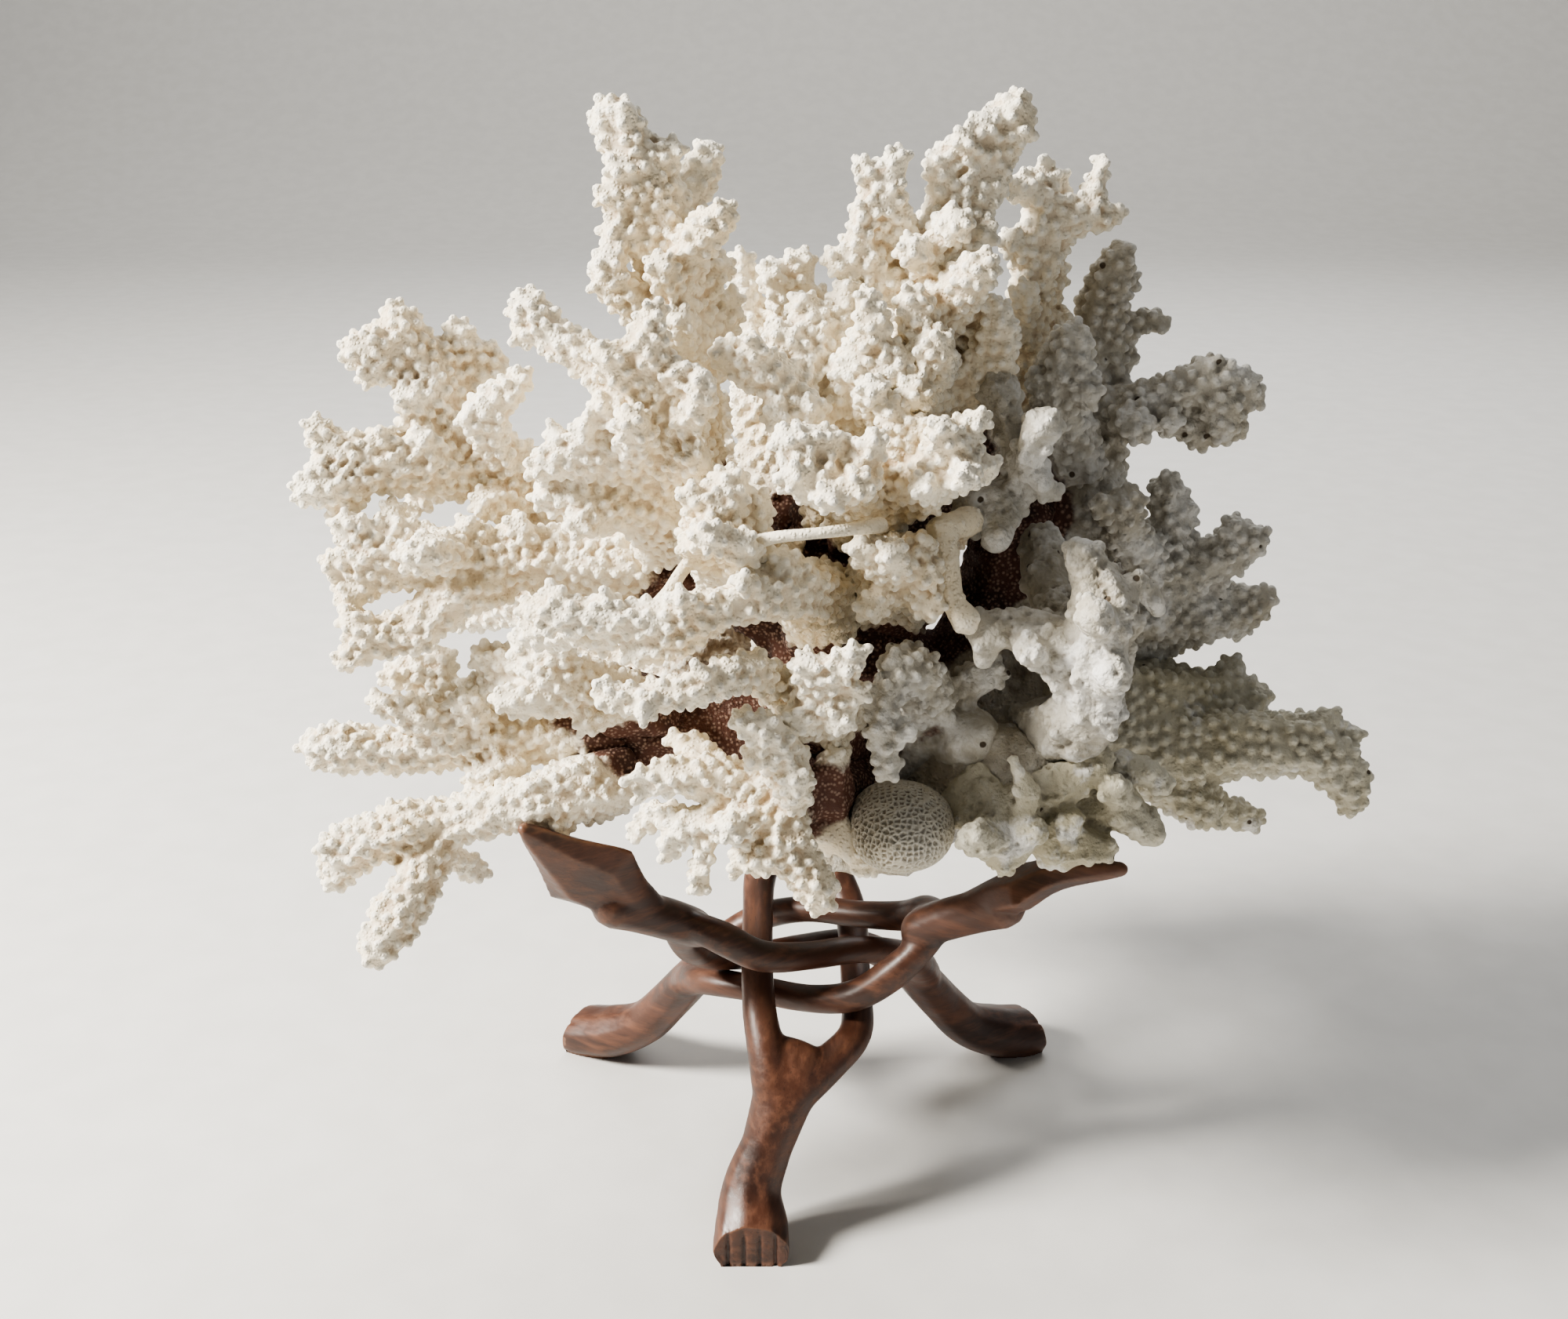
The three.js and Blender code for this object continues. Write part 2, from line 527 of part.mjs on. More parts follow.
/** Box cutters: the plane under the sole, the toe face and the grooves of the toes. */
function footCutters(limb, grow) {
  const turn = THREE.MathUtils.degToRad(limb.heading);
  const sole = new THREE.BoxGeometry(400, 400, SOLE_DEPTH);
  sole.translate(0, 0, -SOLE_DEPTH / 2);
  const cutters = [sole];
  const front = new THREE.BoxGeometry(30, 60, 60);
  front.translate(-limb.reach - 15, 0, 20);
  const boxes = [front];
  if (grow === 0) {
    for (let groove = 0; groove < TOE_GROOVES; groove += 1) {
      const box = new THREE.BoxGeometry(TOE_GROOVE_LENGTH, TOE_GROOVE_WIDTH, 12);
      box.rotateY(THREE.MathUtils.degToRad(-38));
      const across = (groove - (TOE_GROOVES - 1) / 2) * TOE_PITCH;
      box.translate(-limb.reach - 1, limb.lean + across, 10);
      boxes.push(box);
    }
  }
  for (const box of boxes) {
    box.rotateZ(turn);
    box.translate(STAND_CENTRE.x, STAND_CENTRE.y, 0);
    cutters.push(box);
  }
  return cutters.map(solidOf);
}

/** One carved limb: leg, two strands round the eye, neck and head. */
function limbSolid(limb, grow) {
  const turn = THREE.MathUtils.degToRad(limb.heading);
  const forward = new THREE.Vector3(Math.cos(turn), Math.sin(turn), 0);
  const left = new THREE.Vector3(-forward.y, forward.x, 0);
  const rolled = left.clone().applyAxisAngle(forward, THREE.MathUtils.degToRad(limb.roll));
  const options = { sides: WOOD_SIDES, step: WOOD_STEP, grow };
  const bars = [LEG, HIGH_STRAND, LOW_STRAND, NECK].map((stretch) =>
    bentBar(placed(stretch, limb), { ...options, side: left }),
  );
  bars.push(bentBar(placed(headStations(limb), limb), { ...options, side: rolled }));
  const cutters = footCutters(limb, grow);
  return cutters.reduce((solid, cutter) => solid.subtract(cutter), union(bars));
}

// ---------------------------------------------------------------- assembly

/** A named mesh from a solid. */
function meshOf(name, solid, look) {
  const { vertProperties, triVerts, numProp } = solid.getMesh();
  const places = new Float32Array((vertProperties.length / numProp) * 3);
  for (let i = 0; i < places.length / 3; i += 1) {
    for (let axis = 0; axis < 3; axis += 1) {
      places[3 * i + axis] = vertProperties[numProp * i + axis];
    }
  }
  const geometry = new THREE.BufferGeometry();
  geometry.setAttribute("position", new THREE.BufferAttribute(places, 3));
  geometry.setIndex(new THREE.BufferAttribute(new Uint32Array(triVerts), 1));
  const mesh = new THREE.Mesh(geometry, new THREE.MeshStandardMaterial(look));
  mesh.name = name;
  return mesh;
}

/** True where the bounding boxes of two solids meet. */
function mayTouch(one, other) {
  const [a, b] = [one.boundingBox(), other.boundingBox()];
  return [0, 1, 2].every((axis) => a.min[axis] <= b.max[axis] && b.min[axis] <= a.max[axis]);
}

const placedGroup = new THREE.Group();
const taken = []; // the pieces so far, thickened by the clearance

for (const [name, limb] of Object.entries(LIMBS)) {
  placedGroup.add(meshOf(name, largestBody(limbSolid(limb, 0)), WOOD));
  taken.push(limbSolid(limb, GAP));
}

const underCut = new THREE.BoxGeometry(90, 60, 40);
underCut.translate(20, 5, BASE_CUT - 20);
const underCutSolid = solidOf(underCut);

for (const [name, { look, bars }] of Object.entries(BRANCHES)) {
  let solid = branchSolid(bars, 0);
  if (name === "coral_stem") {
    solid = solid.subtract(underCutSolid);
  }
  for (const other of taken) {
    if (mayTouch(solid, other)) {
      solid = solid.subtract(other);
    }
  }
  placedGroup.add(meshOf(name, largestBody(solid), look));
  taken.push(branchSolid(bars, GAP));
}

const bounds = new THREE.Box3().setFromObject(placedGroup);
const middle = bounds.getCenter(new THREE.Vector3());
placedGroup.position.set(-middle.x, -middle.y, -bounds.min.z);

const coralOnStand = new THREE.Group();
coralOnStand.add(placedGroup);

export default coralOnStand;
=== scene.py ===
"""Looks of a dead branching coral that rests on a folding carved serpent stand.

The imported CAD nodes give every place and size. Each coral node is copied, gets its
side twigs, is rounded, and grows its knobs or its crust as real mesh. The three
limbs of the stand are rounded and carved. All lengths in the tables are millimetres.
"""

import json
import logging
import math
from dataclasses import dataclass, field
from enum import Enum

import bmesh
import bpy
import numpy as np
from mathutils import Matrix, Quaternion, Vector, bvhtree

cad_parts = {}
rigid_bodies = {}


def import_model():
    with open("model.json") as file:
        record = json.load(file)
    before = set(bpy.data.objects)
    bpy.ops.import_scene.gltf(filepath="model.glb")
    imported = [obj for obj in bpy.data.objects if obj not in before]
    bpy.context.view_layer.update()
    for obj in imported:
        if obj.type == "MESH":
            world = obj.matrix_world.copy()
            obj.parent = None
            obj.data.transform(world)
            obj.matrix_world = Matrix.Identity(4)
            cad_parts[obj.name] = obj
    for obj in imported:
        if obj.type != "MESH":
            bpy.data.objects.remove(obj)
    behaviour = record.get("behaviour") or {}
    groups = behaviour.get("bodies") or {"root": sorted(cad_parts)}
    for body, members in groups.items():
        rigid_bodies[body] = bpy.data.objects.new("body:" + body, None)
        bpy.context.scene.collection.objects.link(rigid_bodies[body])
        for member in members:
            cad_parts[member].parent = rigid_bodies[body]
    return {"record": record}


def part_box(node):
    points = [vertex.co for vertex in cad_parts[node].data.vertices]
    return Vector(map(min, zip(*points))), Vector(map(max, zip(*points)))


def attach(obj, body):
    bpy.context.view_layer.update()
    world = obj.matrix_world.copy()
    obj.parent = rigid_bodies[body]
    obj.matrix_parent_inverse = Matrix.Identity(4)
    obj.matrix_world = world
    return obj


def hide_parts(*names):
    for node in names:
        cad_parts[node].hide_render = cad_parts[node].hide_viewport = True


LOG = logging.getLogger("coral")
MM = 0.001
SEED = 11

# The front outline of the colony is drawn on an upright sheet seen from EYE.
EYE = Vector((-6.0, -415.5, 300.0))
SHIFT = Vector((-7.09, -13.05, 0.0))  # from the sheet's origin to the part's origin

STAND_CENTRE = Vector((0.0, 5.0, 0.0))  # where the limbs cross, on the sheet's axes

Colour = tuple[float, float, float, float]
Stretch = tuple[tuple[float, ...], ...]  # the stations along one bar
Span = tuple[float, float]

RECORD: dict = {}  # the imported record, which main fills in

# Short side twigs of each piece: stations of (x, z, depth, radius) on the sheet.
TWIGS: dict[str, tuple[Stretch, ...]] = {
    "coral_low_left": (
        ((-62, 104, -24, 6), (-64, 96, -30, 5), (-66, 92, -32, 4.2)),
        ((-96, 88, -28, 4), (-88, 84, -22, 3.6), (-85, 82, -20, 3)),
        ((-118, 92, -32, 4.4), (-123, 89, -34, 3.6)),
        ((-104, 72, -40, 4), (-111, 71, -42, 3)),
        ((-102, 95, -30, 4.6), (-106, 99, -30, 3.4)),
        ((-84, 99, -24, 4), (-86, 103, -26, 3.4)),
    ),
    "coral_left": (
        ((-70, 118, -14, 5), (-76, 112, -20, 4.6), (-82, 109, -22, 4.4)),
        ((-92, 134, -12, 4.6), (-90, 141, -10, 3.6)),
        ((-95, 136, -12, 4.4), (-103, 136, -14, 3.4)),
        ((-82, 122, -16, 5), (-84, 128, -20, 4.4)),
    ),
    "coral_left_tuft": (
        ((-58, 132, -26, 5.6), (-68, 130, -32, 5), (-75, 130, -34, 4.2)),
        ((-58, 136, -28, 5), (-62, 143, -30, 4)),
        ((-50, 130, -24, 5.4), (-55, 124, -30, 4)),
        ((-66, 138, -30, 4.4), (-71, 143, -28, 3.4)),
    ),
    "coral_left_arm": (
        ((-106, 164, -16, 6), (-111, 158, -18, 5)),
        ((-106, 171, -16, 6), (-111, 175, -18, 4.2)),
        ((-98, 172, -14, 5), (-100, 177, -12, 3.6)),
        ((-108, 168, -16, 5), (-115, 165, -18, 3.4)),
        ((-84, 168, -14, 5), (-92, 168, -24, 5.4), (-95, 167, -26, 4.4)),
        ((-108, 147, -24, 4.6), (-112, 151, -24, 3.8)),
        ((-108, 145, -24, 4.6), (-114, 141, -26, 3.8)),
        ((-92, 152, -20, 4.6), (-96, 145, -24, 3.8)),
        ((-84, 158, -16, 4.4), (-88, 151, -12, 3.6)),
        ((-78, 168, -12, 4.6), (-82, 175, -12, 3.4)),
        ((-66, 168, -10, 5), (-70, 175, -12, 3.6)),
    ),
    "coral_upper_left": (
        ((-92, 217, 6, 6), (-100, 218, 2, 5.2), (-105, 217, 0, 4.4)),
        ((-92, 213, 4, 4.4), (-99, 212, 0, 3.4), (-103, 211, -2, 2.8)),
        ((-88, 207, 2, 4.6), (-94, 206, -2, 3.8)),
        ((-86, 200, 4, 5.4), (-93, 200, 0, 4.2)),
        ((-80, 206, 10, 5.6), (-78, 214, 12, 5), (-81, 221, 12, 4)),
        ((-79, 212, 12, 4.6), (-74, 216, 14, 3.6)),
        ((-79, 209, 10, 4.4), (-72, 212, 12, 3.2)),
        ((-74, 200, -4, 4), (-80, 201, -6, 3.2)),
        ((-66, 187, 4, 5), (-68, 193, 2, 3.8)),
        ((-112, 193, -8, 4.2), (-116, 199, -8, 3.2)),
        ((-98, 192, -4, 4), (-101, 197, -6, 3)),
        ((-88, 192, -2, 4.6), (-91, 196, -6, 3.6)),
        ((-102, 189, -4, 5.4), (-111, 185, -10, 5.2), (-119, 184, -12, 4.8)),
        ((-118, 185, -12, 3.8), (-117, 189, -12, 3)),
        ((-108, 185, -8, 4.6), (-112, 178, -10, 3.8)),
        ((-88, 187, 4, 4.6), (-93, 182, 8, 3.6), (-96, 178, 8, 2.8)),
        ((-70, 182, 2, 5), (-78, 181, -6, 3.8)),
    ),
    "coral_crown_left": (
        ((-36, 250, -2, 5), (-45, 252, -6, 3.8)),
        ((-34, 242, -2, 5.4), (-44, 244, -6, 4.4)),
        ((-36, 256, -2, 4.6), (-43, 258, -6, 3.6)),
        ((-32, 246, 4, 5.4), (-26, 254, 10, 5), (-23, 261, 12, 4)),
        ((-29, 236, -4, 5.4), (-25, 243, -10, 5), (-20, 248, -12, 4.2)),
        ((-28, 230, 2, 5), (-21, 236, 4, 4)),
        ((-36, 258, -2, 4.4), (-31, 262, -2, 3.4)),
        ((-30, 228, -6, 4.6), (-34, 236, -14, 4)),
        ((-31, 218, -6, 4.8), (-30, 224, -14, 3.8)),
        ((-27, 216, 4, 5), (-20, 223, 8, 4.4), (-18, 229, 8, 3.4)),
        ((-37, 257, 0, 4.2), (-41, 270, -4, 3.2)),
    ),
    "coral_crown_left_front": (
        ((-37, 206, -28, 5.6), (-37, 218, -32, 5), (-36, 226, -32, 3.8)),
        ((-64, 224, -20, 3.8), (-67, 220, -22, 2.8)),
        ((-40, 200, -26, 6.4), (-48, 204, -30, 4.6)),
        ((-40, 208, -28, 5.6), (-47, 216, -34, 4)),
        ((-34, 198, -26, 5.4), (-27, 202, -34, 4.4), (-25, 210, -36, 3.6)),
        ((-36, 206, -28, 4.6), (-31, 212, -34, 3.4)),
        ((-58, 192, -28, 3.8), (-60, 198, -28, 2.8)),
        ((-54, 193, -28, 4), (-53, 199, -32, 3.2)),
        ((-48, 178, -24, 5), (-55, 175, -30, 4)),
        ((-40, 194, -28, 6), (-42, 200, -38, 4.6)),
        ((-34, 190, -24, 5.6), (-27, 192, -34, 4.4)),
    ),
    "coral_crown_middle_back": (
        ((-5, 226, 28, 4.4), (-9, 235, 24, 3.6)),
        ((-13, 222, 34, 3.6), (-18, 229, 36, 2.8)),
        ((-3, 222, 30, 4), (2, 229, 32, 3.2)),
        ((-12, 212, 32, 4), (-20, 218, 34, 3.4)),
    ),
    "coral_crown_middle": (
        ((4, 216, -12, 5), (7, 224, -10, 4.6), (8, 230, -10, 3.4)),
        ((-6, 208, -24, 4.6), (-8, 202, -30, 3.6)),
        ((-12, 213, -26, 4.4), (-13, 219, -30, 3.2)),
        ((2, 212, -16, 5), (-5, 219, -18, 4), (-9, 221, -18, 2.8)),
        ((10, 212, -20, 5), (14, 222, -24, 4.8), (13, 229, -24, 3.4)),
        ((4, 200, -16, 5), (0, 204, -28, 4)),
        ((14, 204, -22, 5), (15, 208, -32, 4)),
    ),
    "coral_crown_right": (
        ((31, 250, 0, 4.6), (29, 260, -2, 3.6)),
        ((17, 252, -6, 4), (19, 260, -6, 3.4)),
        ((14, 236, -6, 4), (6, 238, -8, 3.4)),
        ((36, 250, 4, 5.6), (40, 254, 8, 4.6)),
        ((42, 264, 2, 4.4), (47, 266, 0, 3.6)),
        ((38, 260, 0, 4.4), (34, 264, -4, 3.6)),
        ((40, 264, 0, 4.2), (38, 268, -2, 3)),
        ((30, 226, -6, 6.6), (35, 232, -16, 6), (39, 236, -20, 4.6)),
        ((26, 216, -8, 6.4), (25, 225, -18, 5.4), (23, 229, -20, 4)),
        ((28, 206, -8, 6.4), (25, 208, -22, 5.2), (24, 206, -30, 4)),
        ((30, 244, -4, 5.4), (33, 246, -14, 4.4)),
        ((32, 240, -2, 5), (39, 243, -4, 4)),
        ((28, 236, -4, 5), (23, 240, -14, 4)),
    ),
    "coral_crest_right": (
        ((62, 249, 18, 3.6), (64, 255, 18, 3), (65, 260, 18, 1.9)),
        ((53, 247, 18, 4.6), (55, 255, 20, 3.6)),
        ((54, 250, 18, 4), (49, 254, 16, 3.8), (45, 254, 14, 3.2)),
        ((51, 253, 18, 3), (52, 260, 18, 2.2)),
        ((50, 238, 18, 4.4), (46, 242, 14, 3.6)),
        ((51, 226, 20, 4.4), (55, 232, 22, 3.8), (56, 237, 22, 3)),
        ((52, 220, 20, 4), (58, 224, 22, 2.8)),
        ((52, 240, 18, 4.4), (57, 243, 20, 3.4)),
        ((48, 222, 16, 4.4), (49, 230, 8, 3.6)),
    ),
    "coral_right_high": (
        ((69, 220, 24, 4.8), (76, 224, 26, 3.4), (81, 223, 26, 2.6)),
        ((70, 212, 24, 4.6), (73, 216, 26, 3.4)),
        ((67, 230, 24, 4.2), (72, 233, 26, 3)),
        ((58, 206, 4, 5), (54, 210, 0, 3.6)),
        ((62, 212, 2, 4.6), (65, 207, -4, 3.6)),
        ((94, 210, 12, 4.6), (102, 210, 12, 3.2)),
        ((94, 208, 12, 5), (97, 203, 10, 4.6), (97, 198, 10, 3.6)),
        ((97, 205, 12, 3.8), (104, 206, 14, 3)),
        ((96, 201, 10, 3.6), (101, 199, 12, 2.8)),
        ((78, 204, 12, 4.4), (86, 201, 14, 4.4), (92, 197, 14, 4)),
        ((74, 203, 14, 5), (77, 199, 6, 4.6)),
        ((84, 203, 12, 3.6), (85, 200, 6, 3)),
    ),
    "coral_bored_knob": (
        ((52, 190, -18, 3.6), (55, 186, -22, 3.2), (58, 183, -18, 2.8)),
        ((46, 178, -20, 5), (45, 171, -26, 3.6)),
    ),
    "coral_right": (
        ((88, 172, 14, 4.6), (90, 179, 14, 3.2)),
        ((84, 164, 8, 6), (76, 174, 2, 5.4), (76, 181, -2, 4.4)),
        ((76, 176, 2, 4.4), (70, 180, -4, 3.4)),
        ((101, 169, 10, 4.6), (102, 174, 10, 3.8)),
        ((103, 153, 12, 4.6), (105, 149, 14, 3.2)),
    ),
    "coral_right_low": (
        ((101, 130, 2, 5.4), (105, 138, 4, 3.8)),
        ((126, 120, -12, 5.4), (130, 124, -12, 4)),
        ((130, 118, -12, 5), (136, 120, -10, 3.8)),
        ((98, 103, -12, 5), (107, 99, -10, 4.4), (113, 97, -8, 3.8)),
    ),
    "coral_crust_column": (
        ((70, 158, -40, 5.6), (66, 168, -38, 4.4)),
        ((74, 154, -42, 5.4), (79, 160, -38, 3.8), (85, 155, -34, 2.6)),
        ((68, 122, -40, 5.6), (67, 117, -42, 3.4)),
        ((52, 146, -38, 5), (56, 142, -46, 3.8)),
        ((46, 147, -38, 4.4), (43, 141, -40, 3.6)),
        ((74, 146, -44, 5), (79, 148, -44, 3.4)),
        ((73, 134, -46, 5.4), (76, 136, -54, 4.2)),
        ((72, 150, -46, 5.6), (70, 152, -54, 4.6)),
        ((62, 150, -30, 6), (58, 162, -16, 7), (56, 170, -8, 6)),
    ),
    "coral_bony_twig": (
        ((32, 174, -30, 3.4), (38, 176, -26, 3.6)),
    ),
    "coral_crust_lobes": (
        ((48, 92, -48, 6), (43, 92, -54, 4.6)),
        ((52, 94, -46, 6), (57, 93, -50, 4.6)),
        ((64, 92, -42, 5.4), (67, 96, -46, 4.2)),
        ((78, 102, -38, 4.6), (77, 106, -44, 3.6)),
    ),
    "coral_front_low": (
        ((-6, 88, -58, 4.6), (-12, 84, -60, 3.8)),
        ((2, 80, -60, 4), (7, 78, -60, 2.8)),
        ((-8, 98, -52, 6), (-16, 96, -56, 5.6), (-20, 94, -60, 5)),
        ((-16, 92, -56, 4), (-17, 86, -58, 3.4), (-18, 82, -58, 2.6)),
        ((-24, 94, -54, 4), (-27, 86, -56, 3), (-28, 77, -56, 2.8)),
        ((-32, 96, -52, 4), (-39, 98, -48, 3.6), (-44, 93, -46, 2.8)),
        ((-38, 110, -52, 3.4), (-44, 109, -54, 2.2), (-47, 107, -54, 1.4)),
        ((-40, 107, -52, 2.8), (-43, 102, -54, 1.8)),
        ((-8, 116, -60, 4.6), (-14, 114, -62, 3.6)),
        ((-4, 102, -54, 5), (-3, 108, -62, 4.6)),
        ((-22, 108, -48, 4.6), (-28, 116, -44, 4), (-34, 119, -42, 3)),
    ),
    "coral_front_tips": (
        ((3, 132, -54, 6), (8, 139, -58, 5), (12, 142, -58, 3.8)),
        ((5, 133, -54, 5), (13, 132, -58, 3.6)),
        ((4, 130, -54, 5.4), (9, 124, -58, 4)),
        ((2, 134, -52, 5.4), (0, 139, -58, 4.4)),
        ((2, 128, -52, 5), (-3, 124, -56, 3.8)),
        ((-24, 134, -62, 3.8), (-27, 138, -66, 3)),
        ((-38, 131, -66, 3.6), (-41, 126, -70, 2.8)),
        ((-48, 130, -66, 3), (-51, 134, -66, 2.4)),
    ),
    "coral_front_column": (
        ((20, 120, -50, 3.6), (25, 121, -52, 2.8)),
        ((26, 140, -38, 4.6), (29, 136, -44, 3.4)),
        ((30, 126, -24, 6.4), (38, 132, -26, 5), (45, 137, -28, 4.6)),
        ((7, 104, -38, 4), (12, 108, -42, 3.8)),
    ),
    "coral_front_row": (
        ((-62, 152, -56, 4), (-68, 148, -54, 3.2)),
        ((-60, 154, -56, 3.8), (-62, 158, -54, 3)),
        ((-48, 152, -56, 4), (-49, 157, -56, 3.2)),
        ((-26, 151, -54, 4.8), (-35, 145, -56, 4.4), (-43, 142, -56, 3.6)),
        ((-48, 149, -54, 3.8), (-51, 144, -50, 3)),
        ((-56, 148, -46, 4.4), (-65, 147, -42, 4.2), (-71, 146, -40, 3.2)),
        ((0, 160, -38, 5.6), (-7, 166, -44, 4.2)),
        ((-30, 152, -56, 3.8), (-31, 157, -60, 3)),
        ((-14, 157, -50, 4), (-16, 161, -56, 3)),
    ),
    "coral_front_stub": (
        ((-22, 178, -42, 5), (-28, 182, -44, 4)),
        ((-16, 174, -38, 5.6), (-12, 180, -40, 4.2)),
        ((-22, 172, -42, 6), (-24, 172, -52, 5)),
        ((-18, 168, -40, 6), (-16, 170, -50, 4.6)),
        ((-22, 166, -36, 5.4), (-28, 170, -46, 4.2)),
    ),
    "coral_centre_lumps": (
        ((8, 188, -38, 5.4), (4, 195, -42, 4.8), (-6, 196, -44, 4)),
        ((12, 188, -38, 5.4), (15, 195, -44, 4.2)),
        ((4, 185, -46, 4.6), (5, 182, -52, 3.8)),
        ((12, 186, -40, 5), (12, 185, -50, 4.2)),
        ((34, 193, -38, 4.4), (40, 201, -38, 3.2)),
        ((34, 190, -38, 5), (42, 189, -38, 4)),
        ((30, 188, -36, 5), (28, 184, -44, 4)),
        ((33, 194, -40, 5), (31, 199, -44, 3.6)),
        ((20, 188, -24, 6.4), (22, 196, -30, 5.2), (19, 203, -32, 4)),
        ((22, 196, -30, 4), (26, 199, -34, 3.2)),
        ((36, 190, -40, 4.6), (37, 186, -48, 3.6)),
    ),
    "coral_centre_fan": (
        ((20, 165, -36, 5.6), (13, 169, -42, 4.4)),
        ((22, 166, -36, 5), (28, 171, -40, 3.2)),
        ((19, 160, -34, 5), (15, 154, -40, 3.6)),
        ((23, 160, -34, 5.4), (29, 156, -38, 4.2)),
        ((22, 164, -38, 5.4), (20, 168, -48, 4)),
        ((24, 163, -38, 5), (29, 163, -42, 3.8)),
    ),
    "coral_back_left": (
        ((-70, 156, 58, 5.2), (-80, 152, 66, 4.2), (-88, 152, 70, 3.4)),
        ((-60, 152, 54, 5), (-62, 142, 64, 4.4), (-66, 136, 70, 3.4)),
        ((-40, 146, 44, 6), (-42, 134, 58, 5), (-46, 126, 66, 4)),
        ((-43, 156, 64, 4), (-50, 162, 72, 3.4)),
        ((-78, 162, 62, 4), (-76, 170, 68, 3.2)),
    ),
    "coral_back_crown": (
        ((-20, 186, 60, 5.4), (-28, 186, 74, 4.6), (-34, 190, 80, 3.6)),
        ((-24, 194, 62, 4.4), (-20, 204, 70, 3.8)),
        ((-28, 202, 64, 4.2), (-36, 206, 72, 3.2)),
        ((-8, 190, 68, 4), (-2, 192, 76, 3.2)),
    ),
    "coral_back_middle": (
        ((4, 144, 78, 5.6), (14, 148, 90, 4.4), (20, 150, 94, 3.4)),
        ((6, 132, 66, 6), (-4, 126, 82, 5), (-8, 120, 90, 4)),
        ((2, 154, 86, 4.4), (-4, 162, 88, 3.6)),
        ((-8, 143, 86, 4), (-16, 140, 90, 3)),
        ((14, 126, 78, 4.4), (12, 114, 84, 3.6)),
    ),
    "coral_back_right": (
        ((58, 138, 48, 6.4), (56, 146, 66, 5.4), (54, 152, 78, 4.4)),
        ((58, 136, 48, 6), (66, 126, 60, 5), (70, 118, 66, 4)),
        ((68, 148, 58, 5), (66, 158, 68, 4.2)),
        ((76, 140, 64, 4.4), (82, 148, 68, 3.4)),
        ((56, 146, 68, 4.2), (62, 150, 76, 3.2)),
    ),
    "coral_back_top": (
        ((24, 190, 42, 6.2), (26, 190, 60, 5.2), (28, 196, 72, 4)),
        ((22, 208, 52, 4.8), (14, 212, 60, 4)),
        ((22, 196, 48, 5.4), (14, 196, 64, 4.6), (12, 204, 72, 3.6)),
        ((34, 208, 60, 3.8), (40, 206, 64, 3)),
    ),
}

# Thin bare sticks that lie across the front of the colony, drawn the same way.
STICKS: tuple[Stretch, ...] = (
    (
        (-15, 170, -45, 2.2),
        (-8, 172, -48, 1.6),
        (2, 173, -49, 1.5),
        (10, 174, -47, 1.6),
        (17, 175, -42, 2.2),
    ),
    ((-38, 153, -40, 2.4), (-34, 158, -44, 1.9), (-31, 163, -44, 1.7), (-27, 168, -38, 2.0)),
)


# ---------------------------------------------------------------- mesh helpers

TUBE_STEPS = 4  # rings between two stations of a tube
SAME_PLACE = 1e-6  # corners closer than this are one, in metres
FINE_RELIEF = 5  # rounds of averaging that relief is measured against
DOME = ((0.85, 0.5), (0.5, 0.85))  # depth and width of the rings of a domed end


@dataclass(frozen=True)
class Station:
    """A section of a tube: its centre, half width and half height, in metres."""

    place: Vector
    wide: float
    high: float


def smoothstep(low: float, high: float, value: np.ndarray) -> np.ndarray:
    """Eased step from 0 at low to 1 at high.

    Args:
        low: where the step starts.
        high: where it is complete, above or below low.
        value: the values to ease.

    Returns:
        The eased values between 0 and 1.
    """
    t = np.clip((value - low) / (high - low), 0.0, 1.0)
    return t * t * (3.0 - 2.0 * t)


def vertex_array(mesh: bpy.types.Mesh) -> np.ndarray:
    """The places of a mesh's vertices as an (n, 3) array."""
    places = np.empty(len(mesh.vertices) * 3, np.float32)
    mesh.vertices.foreach_get("co", places)
    return places.reshape(-1, 3).astype(float)


def normal_array(mesh: bpy.types.Mesh) -> np.ndarray:
    """The normals of a mesh's vertices as an (n, 3) array."""
    normals = np.empty(len(mesh.vertices) * 3, np.float32)
    mesh.vertex_normals.foreach_get("vector", normals)
    return normals.reshape(-1, 3).astype(float)


def place_vertices(mesh: bpy.types.Mesh, places: np.ndarray) -> None:
    """Writes the places of a mesh's vertices."""
    mesh.vertices.foreach_set("co", places.astype(np.float32).ravel())
    mesh.update()


def store(mesh: bpy.types.Mesh, name: str, values: np.ndarray) -> None:
    """Writes one number per vertex into a named attribute of a mesh."""
    layer = mesh.attributes.get(name) or mesh.attributes.new(name, "FLOAT", "POINT")
    layer.data.foreach_set("value", values.astype(np.float32))


def averaged(mesh: bpy.types.Mesh, places: np.ndarray, rounds: int) -> np.ndarray:
    """Vertex places after some rounds of averaging with their neighbours.

    Args:
        mesh: the mesh whose edges say which vertices are neighbours.
        places: an (n, 3) array of places.
        rounds: how many times each place moves halfway to its neighbours' mean.

    Returns:
        The averaged places.
    """
    edges = np.empty(len(mesh.edges) * 2, np.int32)
    mesh.edges.foreach_get("vertices", edges)
    edges = edges.reshape(-1, 2)
    here = np.concatenate([edges[:, 0], edges[:, 1]])
    there = np.concatenate([edges[:, 1], edges[:, 0]])
    count = np.maximum(np.bincount(here, minlength=len(places)), 1)
    for _ in range(rounds):
        mean = np.stack(
            [np.bincount(here, places[there, k], len(places)) / count for k in range(3)],
            axis=1,
        )
        places = 0.5 * (places + mean)
    return places


def relief_of(mesh: bpy.types.Mesh, rounds: int) -> np.ndarray:
    """How far each vertex stands out of the averaged skin, in metres."""
    places = vertex_array(mesh)
    smooth = averaged(mesh, places, rounds)
    return np.einsum("ij,ij->i", places - smooth, normal_array(mesh))


